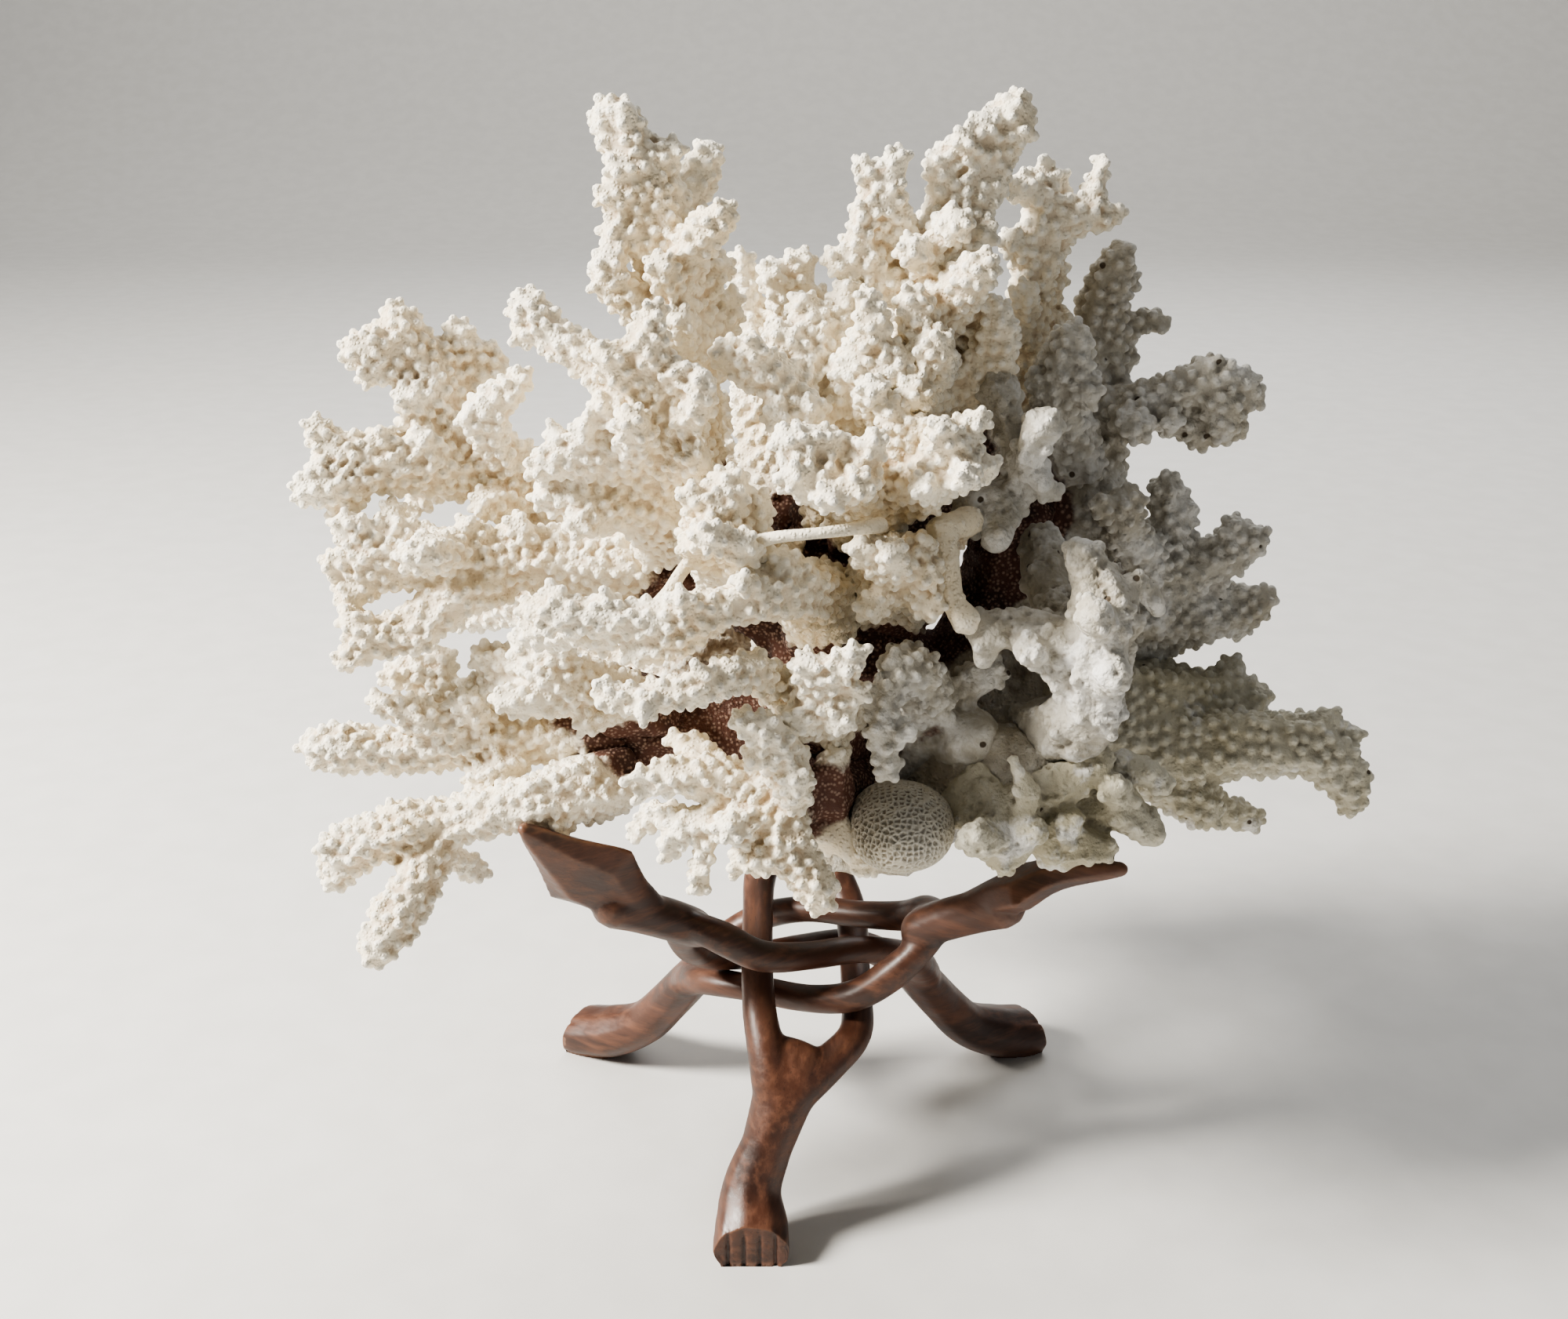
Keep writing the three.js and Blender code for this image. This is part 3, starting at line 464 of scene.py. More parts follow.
def distance_to(tree: bvhtree.BVHTree, places: np.ndarray, reach: float) -> np.ndarray:
    """Distance of each place to a surface, no more than reach."""
    found = np.full(len(places), reach)
    for index, place in enumerate(places):
        _, _, _, gap = tree.find_nearest(place, reach)
        if gap is not None:
            found[index] = gap
    return found


def tube(stations: list[Station], sides: int = 10, side: Vector | None = None) -> bmesh.types.BMesh:
    """A closed tube with domed ends along a smooth path.

    Args:
        stations: the path's centres and sections.
        sides: corners of the section.
        side: the direction of the sections' width; None lets the section roll freely.

    Returns:
        The tube as a new bmesh with its faces outwards.
    """
    path: list[Station] = []
    last = len(stations) - 1
    for span in range(last):
        before = stations[max(span - 1, 0)].place
        after = stations[min(span + 2, last)].place
        here, there = stations[span], stations[span + 1]
        for step in range(TUBE_STEPS):
            t = step / TUBE_STEPS
            a, b = here.place, there.place
            place = 0.5 * (
                2 * a
                + (b - before) * t
                + (2 * before - 5 * a + 4 * b - after) * t * t
                + (3 * a - before - 3 * b + after) * t * t * t
            )
            wide = here.wide + (there.wide - here.wide) * t
            high = here.high + (there.high - here.high) * t
            path.append(Station(place, wide, high))
    path.append(stations[last])

    ways = [
        (path[min(i + 1, len(path) - 1)].place - path[max(i - 1, 0)].place).normalized()
        for i in range(len(path))
    ]
    hoops = [(ring, way, 0.0, 1.0) for ring, way in zip(path, ways)]
    root = [(path[0], ways[0], -deep, share) for deep, share in DOME]
    tip = [(path[-1], ways[-1], deep, share) for deep, share in reversed(DOME)]
    built = bmesh.new()
    across = side or ways[0].orthogonal()
    rings = []
    for ring, way, deep, share in root + hoops + tip:
        across = (across - way * across.dot(way)).normalized()
        up = way.cross(across)
        centre = ring.place + way * ring.high * deep
        turns = [2 * math.pi * k / sides for k in range(sides)]
        rings.append(
            [
                built.verts.new(
                    centre
                    + across * math.cos(turn) * ring.wide * share
                    + up * math.sin(turn) * ring.high * share
                )
                for turn in turns
            ]
        )
        if side is not None:
            across = side
    for low, high in zip(rings, rings[1:]):
        for k in range(sides):
            n = (k + 1) % sides
            built.faces.new((low[k], low[n], high[n], high[k]))
    for ring, pole, flip in (
        (rings[0], path[0].place - ways[0] * path[0].high, True),
        (rings[-1], path[-1].place + ways[-1] * path[-1].high, False),
    ):
        point = built.verts.new(pole)
        for k in range(sides):
            n = (k + 1) % sides
            corners = (ring[n], ring[k], point) if flip else (ring[k], ring[n], point)
            built.faces.new(corners)
    return built


def joined(tubes: list[bmesh.types.BMesh], into: bmesh.types.BMesh) -> None:
    """Adds tubes to a bmesh as they are, and frees them."""
    for bar in tubes:
        part = bpy.data.meshes.new("bar")
        bar.to_mesh(part)
        bar.free()
        into.from_mesh(part)
        bpy.data.meshes.remove(part)


def on_sheet(station: tuple[float, ...]) -> Station:
    """A station (x, z, depth, radius) of the sheet, as a round section in space."""
    x, z, depth, radius = station
    scale = (depth - EYE.y) / -EYE.y
    place = EYE.lerp(Vector((x, 0.0, z)), scale) + SHIFT
    return Station(place * MM, radius * scale * MM, radius * scale * MM)


def baked(name: str, source: bpy.types.Object) -> bpy.types.Mesh:
    """The evaluated mesh of an object, without its modifiers; the object goes."""
    bpy.context.view_layer.update()
    graph = bpy.context.evaluated_depsgraph_get()
    mesh = bpy.data.meshes.new_from_object(source.evaluated_get(graph))
    mesh.name = name
    old = source.data
    bpy.data.objects.remove(source)
    if old.users == 0:
        bpy.data.meshes.remove(old)
    return mesh


def carrier(name: str, mesh: bpy.types.Mesh) -> bpy.types.Object:
    """A linked object that holds a mesh at the origin."""
    thing = bpy.data.objects.new(name, mesh)
    bpy.context.scene.collection.objects.link(thing)
    return thing


def report(thing: bpy.types.Object) -> None:
    """Logs a finished piece and how many triangles it has."""
    thing.data.calc_loop_triangles()
    LOG.info("%s: %d triangles", thing.name, len(thing.data.loop_triangles))


def thinned(mesh: bpy.types.Mesh, keep: float) -> bpy.types.Mesh:
    """A mesh with only a share of its faces, most of them where it bends."""
    thing = carrier(mesh.name, mesh)
    thing.modifiers.new("fewer", "DECIMATE").ratio = keep
    return baked(mesh.name, thing)


def remeshed(mesh: bpy.types.Mesh, voxel: float, rounds: int, keep: float = 1.0) -> bpy.types.Mesh:
    """One closed skin round all the closed shells of a mesh.

    Args:
        mesh: closed shells that may pass through each other.
        voxel: the size of the new skin's faces, in metres.
        rounds: rounds of smoothing.
        keep: the share of the faces to keep, most of them where the skin bends.

    Returns:
        The new mesh.
    """
    thing = carrier(mesh.name, mesh)
    skin = thing.modifiers.new("skin", "REMESH")
    skin.mode = "VOXEL"
    skin.voxel_size = voxel
    if rounds:
        soft = thing.modifiers.new("soft", "SMOOTH")
        soft.factor = 0.5
        soft.iterations = rounds
    if keep < 1.0:
        fewer = thing.modifiers.new("fewer", "DECIMATE")
        fewer.ratio = keep
    return baked(mesh.name, thing)


def largest_part(mesh: bpy.types.Mesh) -> None:
    """Keeps only the largest connected part of a mesh."""
    built = bmesh.new()
    built.from_mesh(mesh)
    built.verts.ensure_lookup_table()
    seen: set[int] = set()
    parts: list[list[int]] = []
    for vert in built.verts:
        if vert.index in seen:
            continue
        seen.add(vert.index)
        part, queue = [], [vert]
        while queue:
            here = queue.pop()
            part.append(here.index)
            for edge in here.link_edges:
                other = edge.other_vert(here)
                if other.index not in seen:
                    seen.add(other.index)
                    queue.append(other)
        parts.append(part)
    if len(parts) > 1:
        keep = set(max(parts, key=len))
        crumbs = [vert for vert in built.verts if vert.index not in keep]
        bmesh.ops.delete(built, geom=crumbs, context="VERTS")
        built.to_mesh(mesh)
    built.free()


def node_copy(node: str) -> bmesh.types.BMesh:
    """A copy of a CAD node's mesh with its doubled corners merged."""
    built = bmesh.new()
    built.from_mesh(bpy.data.objects[node].data)
    bmesh.ops.remove_doubles(built, verts=built.verts, dist=SAME_PLACE)
    return built


def mesh_from(built: bmesh.types.BMesh, name: str) -> bpy.types.Mesh:
    """A new mesh with what a bmesh holds; the bmesh is freed."""
    mesh = bpy.data.meshes.new(name)
    built.to_mesh(mesh)
    built.free()
    return mesh


def dress(mesh: bpy.types.Mesh, finish: bpy.types.Material) -> None:
    """Gives a mesh one material and smooth shading."""
    mesh.materials.clear()
    mesh.materials.append(finish)
    mesh.shade_smooth()


# ---------------------------------------------------------------- node trees


Socket = bpy.types.NodeSocket


class Wiring:
    """Adds nodes and links to one node tree."""

    def __init__(self, tree: bpy.types.NodeTree) -> None:
        """Starts on a tree."""
        self.tree = tree

    def node(self, kind: str, **settings: object) -> bpy.types.Node:
        """A new node with its properties set.

        Args:
            kind: the node's type name.
            settings: properties of the node by name.

        Returns:
            The node.
        """
        made = self.tree.nodes.new(kind)
        for name, value in settings.items():
            setattr(made, name, value)
        return made

    def wired(self, kind: str, given: dict, **settings: object) -> bpy.types.Node:
        """A new node with some of its inputs fed, by name or number."""
        made = self.node(kind, **settings)
        for name, value in given.items():
            self.feed(made.inputs[name], value)
        return made

    def feed(self, socket: bpy.types.NodeSocket, value: object) -> None:
        """Links a socket to another, or sets its value."""
        if isinstance(value, bpy.types.NodeSocket):
            self.tree.links.new(value, socket)
        else:
            socket.default_value = value

    def math(
        self, operation: str, one: object, two: object = 0.0, clamp: bool = False
    ) -> Socket:
        """A Math node.

        Args:
            operation: the operation's name.
            one: the first number or socket.
            two: the second number or socket.
            clamp: keeps the result between 0 and 1.

        Returns:
            The result's socket.
        """
        inputs = {0: one, 1: two}
        return self.wired("ShaderNodeMath", inputs, operation=operation, use_clamp=clamp).outputs[0]

    def spread(
        self,
        value: object,
        low: object,
        high: object,
        to_low: object = 0.0,
        to_high: object = 1.0,
    ) -> Socket:
        """A smooth Map Range between two ranges.

        Args:
            value: the number or socket to map.
            low: where the range starts.
            high: where it ends.
            to_low: the result at low.
            to_high: the result at high.

        Returns:
            The result's socket.
        """
        inputs = dict(enumerate((value, low, high, to_low, to_high)))
        made = self.wired("ShaderNodeMapRange", inputs, interpolation_type="SMOOTHSTEP")
        return made.outputs[0]

    def blend(self, share: object, one: object, two: object) -> Socket:
        """A colour Mix node.

        Args:
            share: how much of the second colour, 0 to 1.
            one: the first colour or socket.
            two: the second colour or socket.

        Returns:
            The colour's socket.
        """
        inputs = {0: share, 6: one, 7: two}
        return self.wired("ShaderNodeMix", inputs, data_type="RGBA").outputs[2]

    def attribute(self, name: str) -> Socket:
        """The socket of a number stored on the vertices."""
        return self.node("ShaderNodeAttribute", attribute_name=name).outputs["Fac"]

    def noise(
        self, where: object, scale: object, detail: float = 3.0, rough: float = 0.5
    ) -> Socket:
        """A Noise Texture's value.

        Args:
            where: the socket with the place.
            scale: ripples per metre.
            detail: octaves.
            rough: how strong the finer octaves are.

        Returns:
            The value's socket.
        """
        inputs = {"Vector": where, "Scale": scale, "Detail": detail, "Roughness": rough}
        return self.wired("ShaderNodeTexNoise", inputs).outputs[0]

    def cells(
        self, where: object, scale: object, feature: str = "F1", spread: float = 1.0
    ) -> bpy.types.Node:
        """A Voronoi Texture node.

        Args:
            where: the socket with the place.
            scale: cells per metre.
            feature: what is measured.
            spread: how irregular the cells are.

        Returns:
            The node.
        """
        inputs = {"Vector": where, "Scale": scale, "Randomness": spread}
        return self.wired("ShaderNodeTexVoronoi", inputs, feature=feature)

    def pushed(self, skin: Socket, height: Socket) -> Socket:
        """Moves a geometry along its normals by a height."""
        out = self.node("GeometryNodeInputNormal").outputs[0]
        along = self.wired("ShaderNodeVectorMath", {0: out, "Scale": height}, operation="SCALE")
        inputs = {"Geometry": skin, "Offset": along.outputs[0]}
        return self.wired("GeometryNodeSetPosition", inputs).outputs[0]

    def ended(self, skin: Socket, finish: Socket, out: bpy.types.Node) -> None:
        """Realizes a geometry's instances, sets its material and hands it out."""
        solid = self.wired("GeometryNodeRealizeInstances", {0: skin}).outputs[0]
        inputs = {"Geometry": solid, "Material": finish}
        self.feed(out.inputs[0], self.wired("GeometryNodeSetMaterial", inputs).outputs[0])


def fitted(thing: bpy.types.Object, tree: bpy.types.NodeTree, values: dict[str, object]) -> None:
    """Puts a geometry tree on an object, with its inputs set by identifier.

    Args:
        thing: the object.
        tree: the tree.
        values: the inputs' values by name.
    """
    modifier = thing.modifiers.new(tree.name, "NODES")
    modifier.node_group = tree
    for item in tree.interface.items_tree:
        if item.in_out == "INPUT" and item.name in values:
            modifier[item.identifier] = values[item.name]


def shader_group(name: str, inputs: dict, outputs: dict) -> tuple:
    """An empty shader node group with named sockets.

    Args:
        name: the group's name.
        inputs: socket type and starting value by name.
        outputs: socket type by name.

    Returns:
        The group, its wiring, the input node and the output node.
    """
    group = bpy.data.node_groups.new(name, "ShaderNodeTree")
    for label, (kind, value) in inputs.items():
        socket = group.interface.new_socket(label, in_out="INPUT", socket_type=kind)
        socket.default_value = value
    for label, kind in outputs.items():
        group.interface.new_socket(label, in_out="OUTPUT", socket_type=kind)
    wiring = Wiring(group)
    return group, wiring, wiring.node("NodeGroupInput"), wiring.node("NodeGroupOutput")


FLOAT, VECTOR = "NodeSocketFloat", "NodeSocketVector"


def corallite_group() -> bpy.types.NodeTree:
    """Pale pores and granules of coral skeleton: a height and a mask of the granules."""
    group, w, given, out = shader_group(
        "corallites",
        {"Place": (VECTOR, (0, 0, 0)), "Granule Size": (FLOAT, 0.0009), "Grit": (FLOAT, 0.5)},
        {"Height": FLOAT, "Granules": FLOAT},
    )
    scale = w.math("DIVIDE", 1.0, given.outputs["Granule Size"])
    cells = w.cells(given.outputs["Place"], scale, spread=0.85)
    grains = w.spread(cells.outputs["Distance"], 0.15, 0.55, 1.0, 0.0)
    grit = w.noise(given.outputs["Place"], w.math("MULTIPLY", scale, 2.3), 2.0)
    height = w.math("ADD", grains, w.math("MULTIPLY", grit, given.outputs["Grit"]))
    w.feed(out.inputs["Height"], height)
    w.feed(out.inputs["Granules"], grains)
    return group


def crevice_group() -> bpy.types.NodeTree:
    """Painted shade that darkens the crevices between knobs, broken up by noise, and a painted
    highlight on the raised knob tips.
    """
    group, w, given, out = shader_group(
        "crevice_painted_shade",
        {
            "Place": (VECTOR, (0, 0, 0)),
            "Relief": (FLOAT, 0.0),
            "Depth": (FLOAT, 0.0004),
            "Patch Size": (FLOAT, 0.02),
        },
        {"Painted Shade": FLOAT, "Painted Highlight": FLOAT},
    )
    share = w.math("DIVIDE", given.outputs["Relief"], given.outputs["Depth"])
    low = w.spread(share, 0.1, -1.0)
    patch = w.noise(given.outputs["Place"], w.math("DIVIDE", 1.0, given.outputs["Patch Size"]), 3.0)
    # Painted shade: the low places between the knobs are darkened.
    crevice_shade = w.math("MULTIPLY", low, w.spread(patch, 0.3, 0.65, 0.45, 1.0), clamp=True)
    w.feed(out.inputs["Painted Shade"], crevice_shade)
    # Painted highlight: the raised knob tips are lightened.
    w.feed(out.inputs["Painted Highlight"], w.spread(share, 0.1, 1.2))
    return group


def bore_group() -> bpy.types.NodeTree:
    """Scattered bore holes of small animals: a mask that is 1 in a hole."""
    group, w, given, out = shader_group(
        "bore_holes",
        {"Place": (VECTOR, (0, 0, 0)), "Spacing": (FLOAT, 0.006), "Hole": (FLOAT, 0.12)},
        {"Holes": FLOAT},
    )
    cells = w.cells(given.outputs["Place"], w.math("DIVIDE", 1.0, given.outputs["Spacing"]))
    edge = w.math("ADD", given.outputs["Hole"], 0.05)
    hole = w.spread(cells.outputs["Distance"], given.outputs["Hole"], edge, 1.0, 0.0)
    chosen = w.node("ShaderNodeSeparateColor")
    w.feed(chosen.inputs[0], cells.outputs["Color"])
    some = w.math("GREATER_THAN", chosen.outputs[0], 0.62)
    w.feed(out.inputs["Holes"], w.math("MULTIPLY", hole, some))
    return group


def grain_group() -> bpy.types.NodeTree:
    """Long wood grain along X: a fine streak value and a broad band value."""
    group, w, given, out = shader_group(
        "wood_grain",
        {"Place": (VECTOR, (0, 0, 0)), "Turn": (FLOAT, 0.0), "Pitch": (FLOAT, 0.003)},
        {"Streaks": FLOAT, "Bands": FLOAT, "Pores": FLOAT},
    )
    turned = w.node("ShaderNodeVectorRotate", rotation_type="Z_AXIS")
    w.feed(turned.inputs["Vector"], given.outputs["Place"])
    w.feed(turned.inputs["Angle"], given.outputs["Turn"])
    drawn = w.node("ShaderNodeVectorMath", operation="MULTIPLY")
    w.feed(drawn.inputs[0], turned.outputs[0])
    drawn.inputs[1].default_value = (0.12, 1.0, 1.0)
    scale = w.math("DIVIDE", 1.0, given.outputs["Pitch"])
    streaks = w.noise(drawn.outputs[0], scale, 4.0, 0.6)
    bands = w.noise(drawn.outputs[0], w.math("MULTIPLY", scale, 0.22), 3.0)
    pores = w.noise(drawn.outputs[0], w.math("MULTIPLY", scale, 3.5), 2.0)
    w.feed(out.inputs["Streaks"], streaks)
    w.feed(out.inputs["Bands"], bands)
    w.feed(out.inputs["Pores"], w.spread(pores, 0.62, 0.72))
    return group


@dataclass
class ShaderParts:
    """The shader node groups that the finishes share, each built once."""

    corallites: bpy.types.NodeTree = field(default_factory=corallite_group)
    crevices: bpy.types.NodeTree = field(default_factory=crevice_group)
    bores: bpy.types.NodeTree = field(default_factory=bore_group)
    grain: bpy.types.NodeTree = field(default_factory=grain_group)


class Dresser(Wiring):
    """Wiring of one material round a Principled shader."""

    def __init__(self, name: str) -> None:
        """Makes the material and its shader."""
        self.material = bpy.data.materials.new(name)
        self.material.use_nodes = True
        tree = self.material.node_tree
        tree.nodes.clear()
        super().__init__(tree)
        self.shader = self.node("ShaderNodeBsdfPrincipled")
        output = self.node("ShaderNodeOutputMaterial")
        tree.links.new(self.shader.outputs[0], output.inputs[0])
        self.place = self.node("ShaderNodeTexCoord").outputs["Object"]

    def group(self, tree: bpy.types.NodeTree, **values) -> bpy.types.Node:
        """Places a shared group with its values, by socket name with _ for space."""
        made = self.node("ShaderNodeGroup", node_tree=tree)
        self.feed(made.inputs["Place"], self.place)
        for name, value in values.items():
            self.feed(made.inputs[name.replace("_", " ")], value)
        return made

    def bump(self, height: object, distance: float, strength: float = 1.0) -> None:
        """Feeds a height through a Bump node into the shader's normal."""
        made = self.node("ShaderNodeBump")
        self.feed(made.inputs["Height"], height)
        made.inputs["Distance"].default_value = distance
        made.inputs["Strength"].default_value = strength
        self.feed(self.shader.inputs["Normal"], made.outputs[0])

    def surface(self, colour: object, rough: object, specular: float) -> None:
        """Feeds the shader's colour and roughness and sets its specular level."""
        self.feed(self.shader.inputs["Base Color"], colour)
        self.feed(self.shader.inputs["Roughness"], rough)
        self.shader.inputs["Specular IOR Level"].default_value = specular


# ---------------------------------------------------------------- finishes


@dataclass(frozen=True)
class CoralFinish:
    """Colours of bleached or crusted coral skeleton with its brown stained roots, painted shade in
    its crevices and bore holes, and painted highlights on its knob tips.
    """

    name: str
    pale: Colour
    warm: Colour
    # tip: the colour of the painted highlight on the raised knob tips
    tip: Colour
    # the colour of the painted shade in the crevices between knobs
    crevice_shade: Colour
    stain: Colour = (0.115, 0.050, 0.034, 1)
    # a darker copy of the real brown stain, which is painted shade
    stain_painted_shade: Colour = (0.050, 0.024, 0.018, 1)
    granule: Colour = (0.40, 0.275, 0.215, 1)
    granule_size: float = 0.0010
    relief_depth: float = 0.00045
    chalk: Colour = (0.80, 0.79, 0.76, 1)
    chalk_share: float = 0.0
    holes: float = 0.0
    bump_depth: float = 0.0003
    rust_from: float = 0.0
    # bore: the dark colour of the bore holes, painted shade inside holes that are only bumped
    bore: Colour = (0.10, 0.075, 0.05, 1)
    bore_spacing: float = 0.0065
    # Ripples per metre of each noise.
    patch_scale: float = 38.0
    mottle_scale: float = 310.0
    chalk_scale: float = 85.0
    chalk_grit_scale: float = 1100.0
    stain_edge_scale: float = 150.0
    stain_patch_scale: float = 90.0

    def material(self, parts: ShaderParts) -> bpy.types.Material:
        """Builds the material.

        Args:
            parts: the shared shader groups.

        Returns:
            The material.
        """
        d = Dresser(self.name)
        relief = d.attribute("relief")
        rust = d.attribute("rust")
        lime = d.group(parts.corallites, Granule_Size=self.granule_size, Grit=0.5)
        crevice = d.group(parts.crevices, Relief=relief, Depth=self.relief_depth)
        patches = d.noise(d.place, self.patch_scale)
        colour = d.blend(d.spread(patches, 0.38, 0.64), self.pale, self.warm)
        mottle = d.noise(d.place, self.mottle_scale, 3.0, 0.6)
        colour = d.blend(d.spread(mottle, 0.45, 0.75, 0.0, 0.30), colour, self.warm)
        if self.chalk_share:
            cover = d.noise(d.place, self.chalk_scale, 4.0, 0.65)
            chalky = d.spread(cover, 0.62 - 0.3 * self.chalk_share, 0.66)
            colour = d.blend(d.math("MULTIPLY", chalky, 0.85), colour, self.chalk)
        # Painted highlight: the raised knob tips turn lighter.
        colour = d.blend(d.math("MULTIPLY", crevice.outputs["Painted Highlight"], 0.55), colour, self.tip)
        # Painted shade: the crevices between knobs turn darker.
        colour = d.blend(d.math("MULTIPLY", crevice.outputs["Painted Shade"], 0.8), colour, self.crevice_shade)
        height = lime.outputs["Height"]
        if self.holes:
            bored = d.group(parts.bores, Spacing=self.bore_spacing, Hole=self.holes)
            # Painted shade: the bore holes are coloured dark.
            colour = d.blend(bored.outputs["Holes"], colour, self.bore)
            height = d.math("SUBTRACT", height, d.math("MULTIPLY", bored.outputs["Holes"], 2.5))
        if self.chalk_share:
            grit = d.noise(d.place, self.chalk_grit_scale, 3.0, 0.7)
            height = d.math("ADD", height, d.math("MULTIPLY", grit, 2.4))
        broken = d.noise(d.place, self.stain_edge_scale, 4.0, 0.6)
        reach = d.math("ADD", rust, d.math("MULTIPLY", d.math("SUBTRACT", broken, 0.5), 0.9))
        stained = d.spread(reach, 0.42 - self.rust_from, 0.66 - self.rust_from)
        # Painted shade: noise patches of the real brown stain turn to its darker copy.
        deep = d.spread(d.noise(d.place, self.stain_patch_scale, 2.0), 0.4, 0.7)
        dark = d.blend(deep, self.stain, self.stain_painted_shade)
        grains = d.math("MULTIPLY", lime.outputs["Granules"], 0.75)
        brown = d.blend(grains, dark, self.granule)
        colour = d.blend(stained, colour, brown)
        d.surface(colour, d.spread(mottle, 0.3, 0.7, 0.62, 0.82), 0.35)
        d.bump(height, self.bump_depth, 0.7)
        return d.material


@dataclass(frozen=True)
class WoodFinish:
    """Satin reddish brown hardwood, carved and rubbed on its edges, with painted shade in its
    hollows.
    """

    name: str
    turn: float
    dark: Colour = (0.030, 0.0115, 0.007, 1)
    mid: Colour = (0.078, 0.029, 0.0155, 1)
    light: Colour = (0.165, 0.068, 0.036, 1)
    worn: Colour = (0.22, 0.105, 0.06, 1)
    # the colour of the painted shade in the carved hollows
    painted_hollow_shade: Colour = (0.018, 0.008, 0.005, 1)

    def material(self, parts: ShaderParts) -> bpy.types.Material:
        """Builds the material.

        Args:
            parts: the shared shader groups.

        Returns:
            The material.
        """
        d = Dresser(self.name)
        grain = d.group(parts.grain, Turn=self.turn, Pitch=0.0026)
        colour = d.blend(d.spread(grain.outputs["Bands"], 0.35, 0.65), self.dark, self.mid)
        streaks = d.spread(grain.outputs["Streaks"], 0.42, 0.72, 0.0, 0.6)
        colour = d.blend(streaks, colour, self.light)
        colour = d.blend(d.math("MULTIPLY", grain.outputs["Pores"], 0.5), colour, self.dark)
        edge = d.spread(d.attribute("relief"), 0.00006, 0.0005, 0.0, 0.6)
        colour = d.blend(edge, colour, self.worn)
        # Painted shade: the hollows of the carving turn darker.
        painted_hollow_shade = d.spread(d.attribute("relief"), -0.00004, -0.0005, 0.0, 0.8)
        colour = d.blend(painted_hollow_shade, colour, self.painted_hollow_shade)
        d.surface(colour, d.spread(grain.outputs["Streaks"], 0.3, 0.7, 0.40, 0.56), 0.5)
        d.shader.inputs["Coat Weight"].default_value = 0.15
        d.shader.inputs["Coat Roughness"].default_value = 0.3
        cuts = d.noise(d.place, 120.0, 2.0)
        height = d.math("ADD", grain.outputs["Streaks"], d.math("MULTIPLY", cuts, 1.5))
        d.bump(height, 0.0003, 0.5)
        return d.material


# ---------------------------------------------------------------- growth


@dataclass(frozen=True)
class Growth:
    """How the skin of a coral piece grows, in millimetres."""

    lump_height: float
    lump_size: float
    crust_height: float
    crust_size: float
    knob_spacing: float
    knob_radius: float
    knob_rise: float
    draw_in: float
    voxel: float = 0.5
    keep: float = 0.25  # the share of the faces that is kept


class Skin(Enum):
    """The kinds of coral skin in the colony."""

    KNOBBED = Growth(0.5, 11.0, 0.05, 3.0, 2.45, 1.24, 0.3, 0.5)
    WORN = Growth(0.6, 9.0, 0.5, 2.4, 2.7, 1.35, 0.1, 0.4, voxel=0.46)
    CRUSTED = Growth(0.8, 9.0, 1.5, 2.2, 5.0, 1.6, -0.4, 0.3, voxel=0.42, keep=0.27)
    HEART = Growth(1.3, 9.0, 0.35, 2.6, 3.4, 1.1, -0.3, 0.3, voxel=0.8, keep=0.3)
    BONY = Growth(0.25, 4.0, 0.2, 1.6, 3.0, 0.8, -0.3, 0.0, voxel=0.5)


LUMP_OCTAVES = 1.5
CRUST_OCTAVES = 2.0
RIPPLE_GAIN = 4.0  # the noise seldom leaves its middle by more than a quarter
CRUST_RIDGE = 0.12  # the noise within this of its middle stands out as a ridge
PATCH_PITCH = 0.3  # crust ripples to a patch of crust
PATCH_EDGE = (0.42, 0.56)
PATCH_GAIN = (0.12, 1.4)
KNOB_TRIES = 3.0  # tries for each knob that finds room
KNOB_ROUNDNESS = 2
KNOB_TILT = ((-0.3, -0.3, 0.0), (0.3, 0.3, 3.1))
KNOB_GIRTH = ((0.8, 0.8, 0.8), (1.12, 1.12, 1.2))


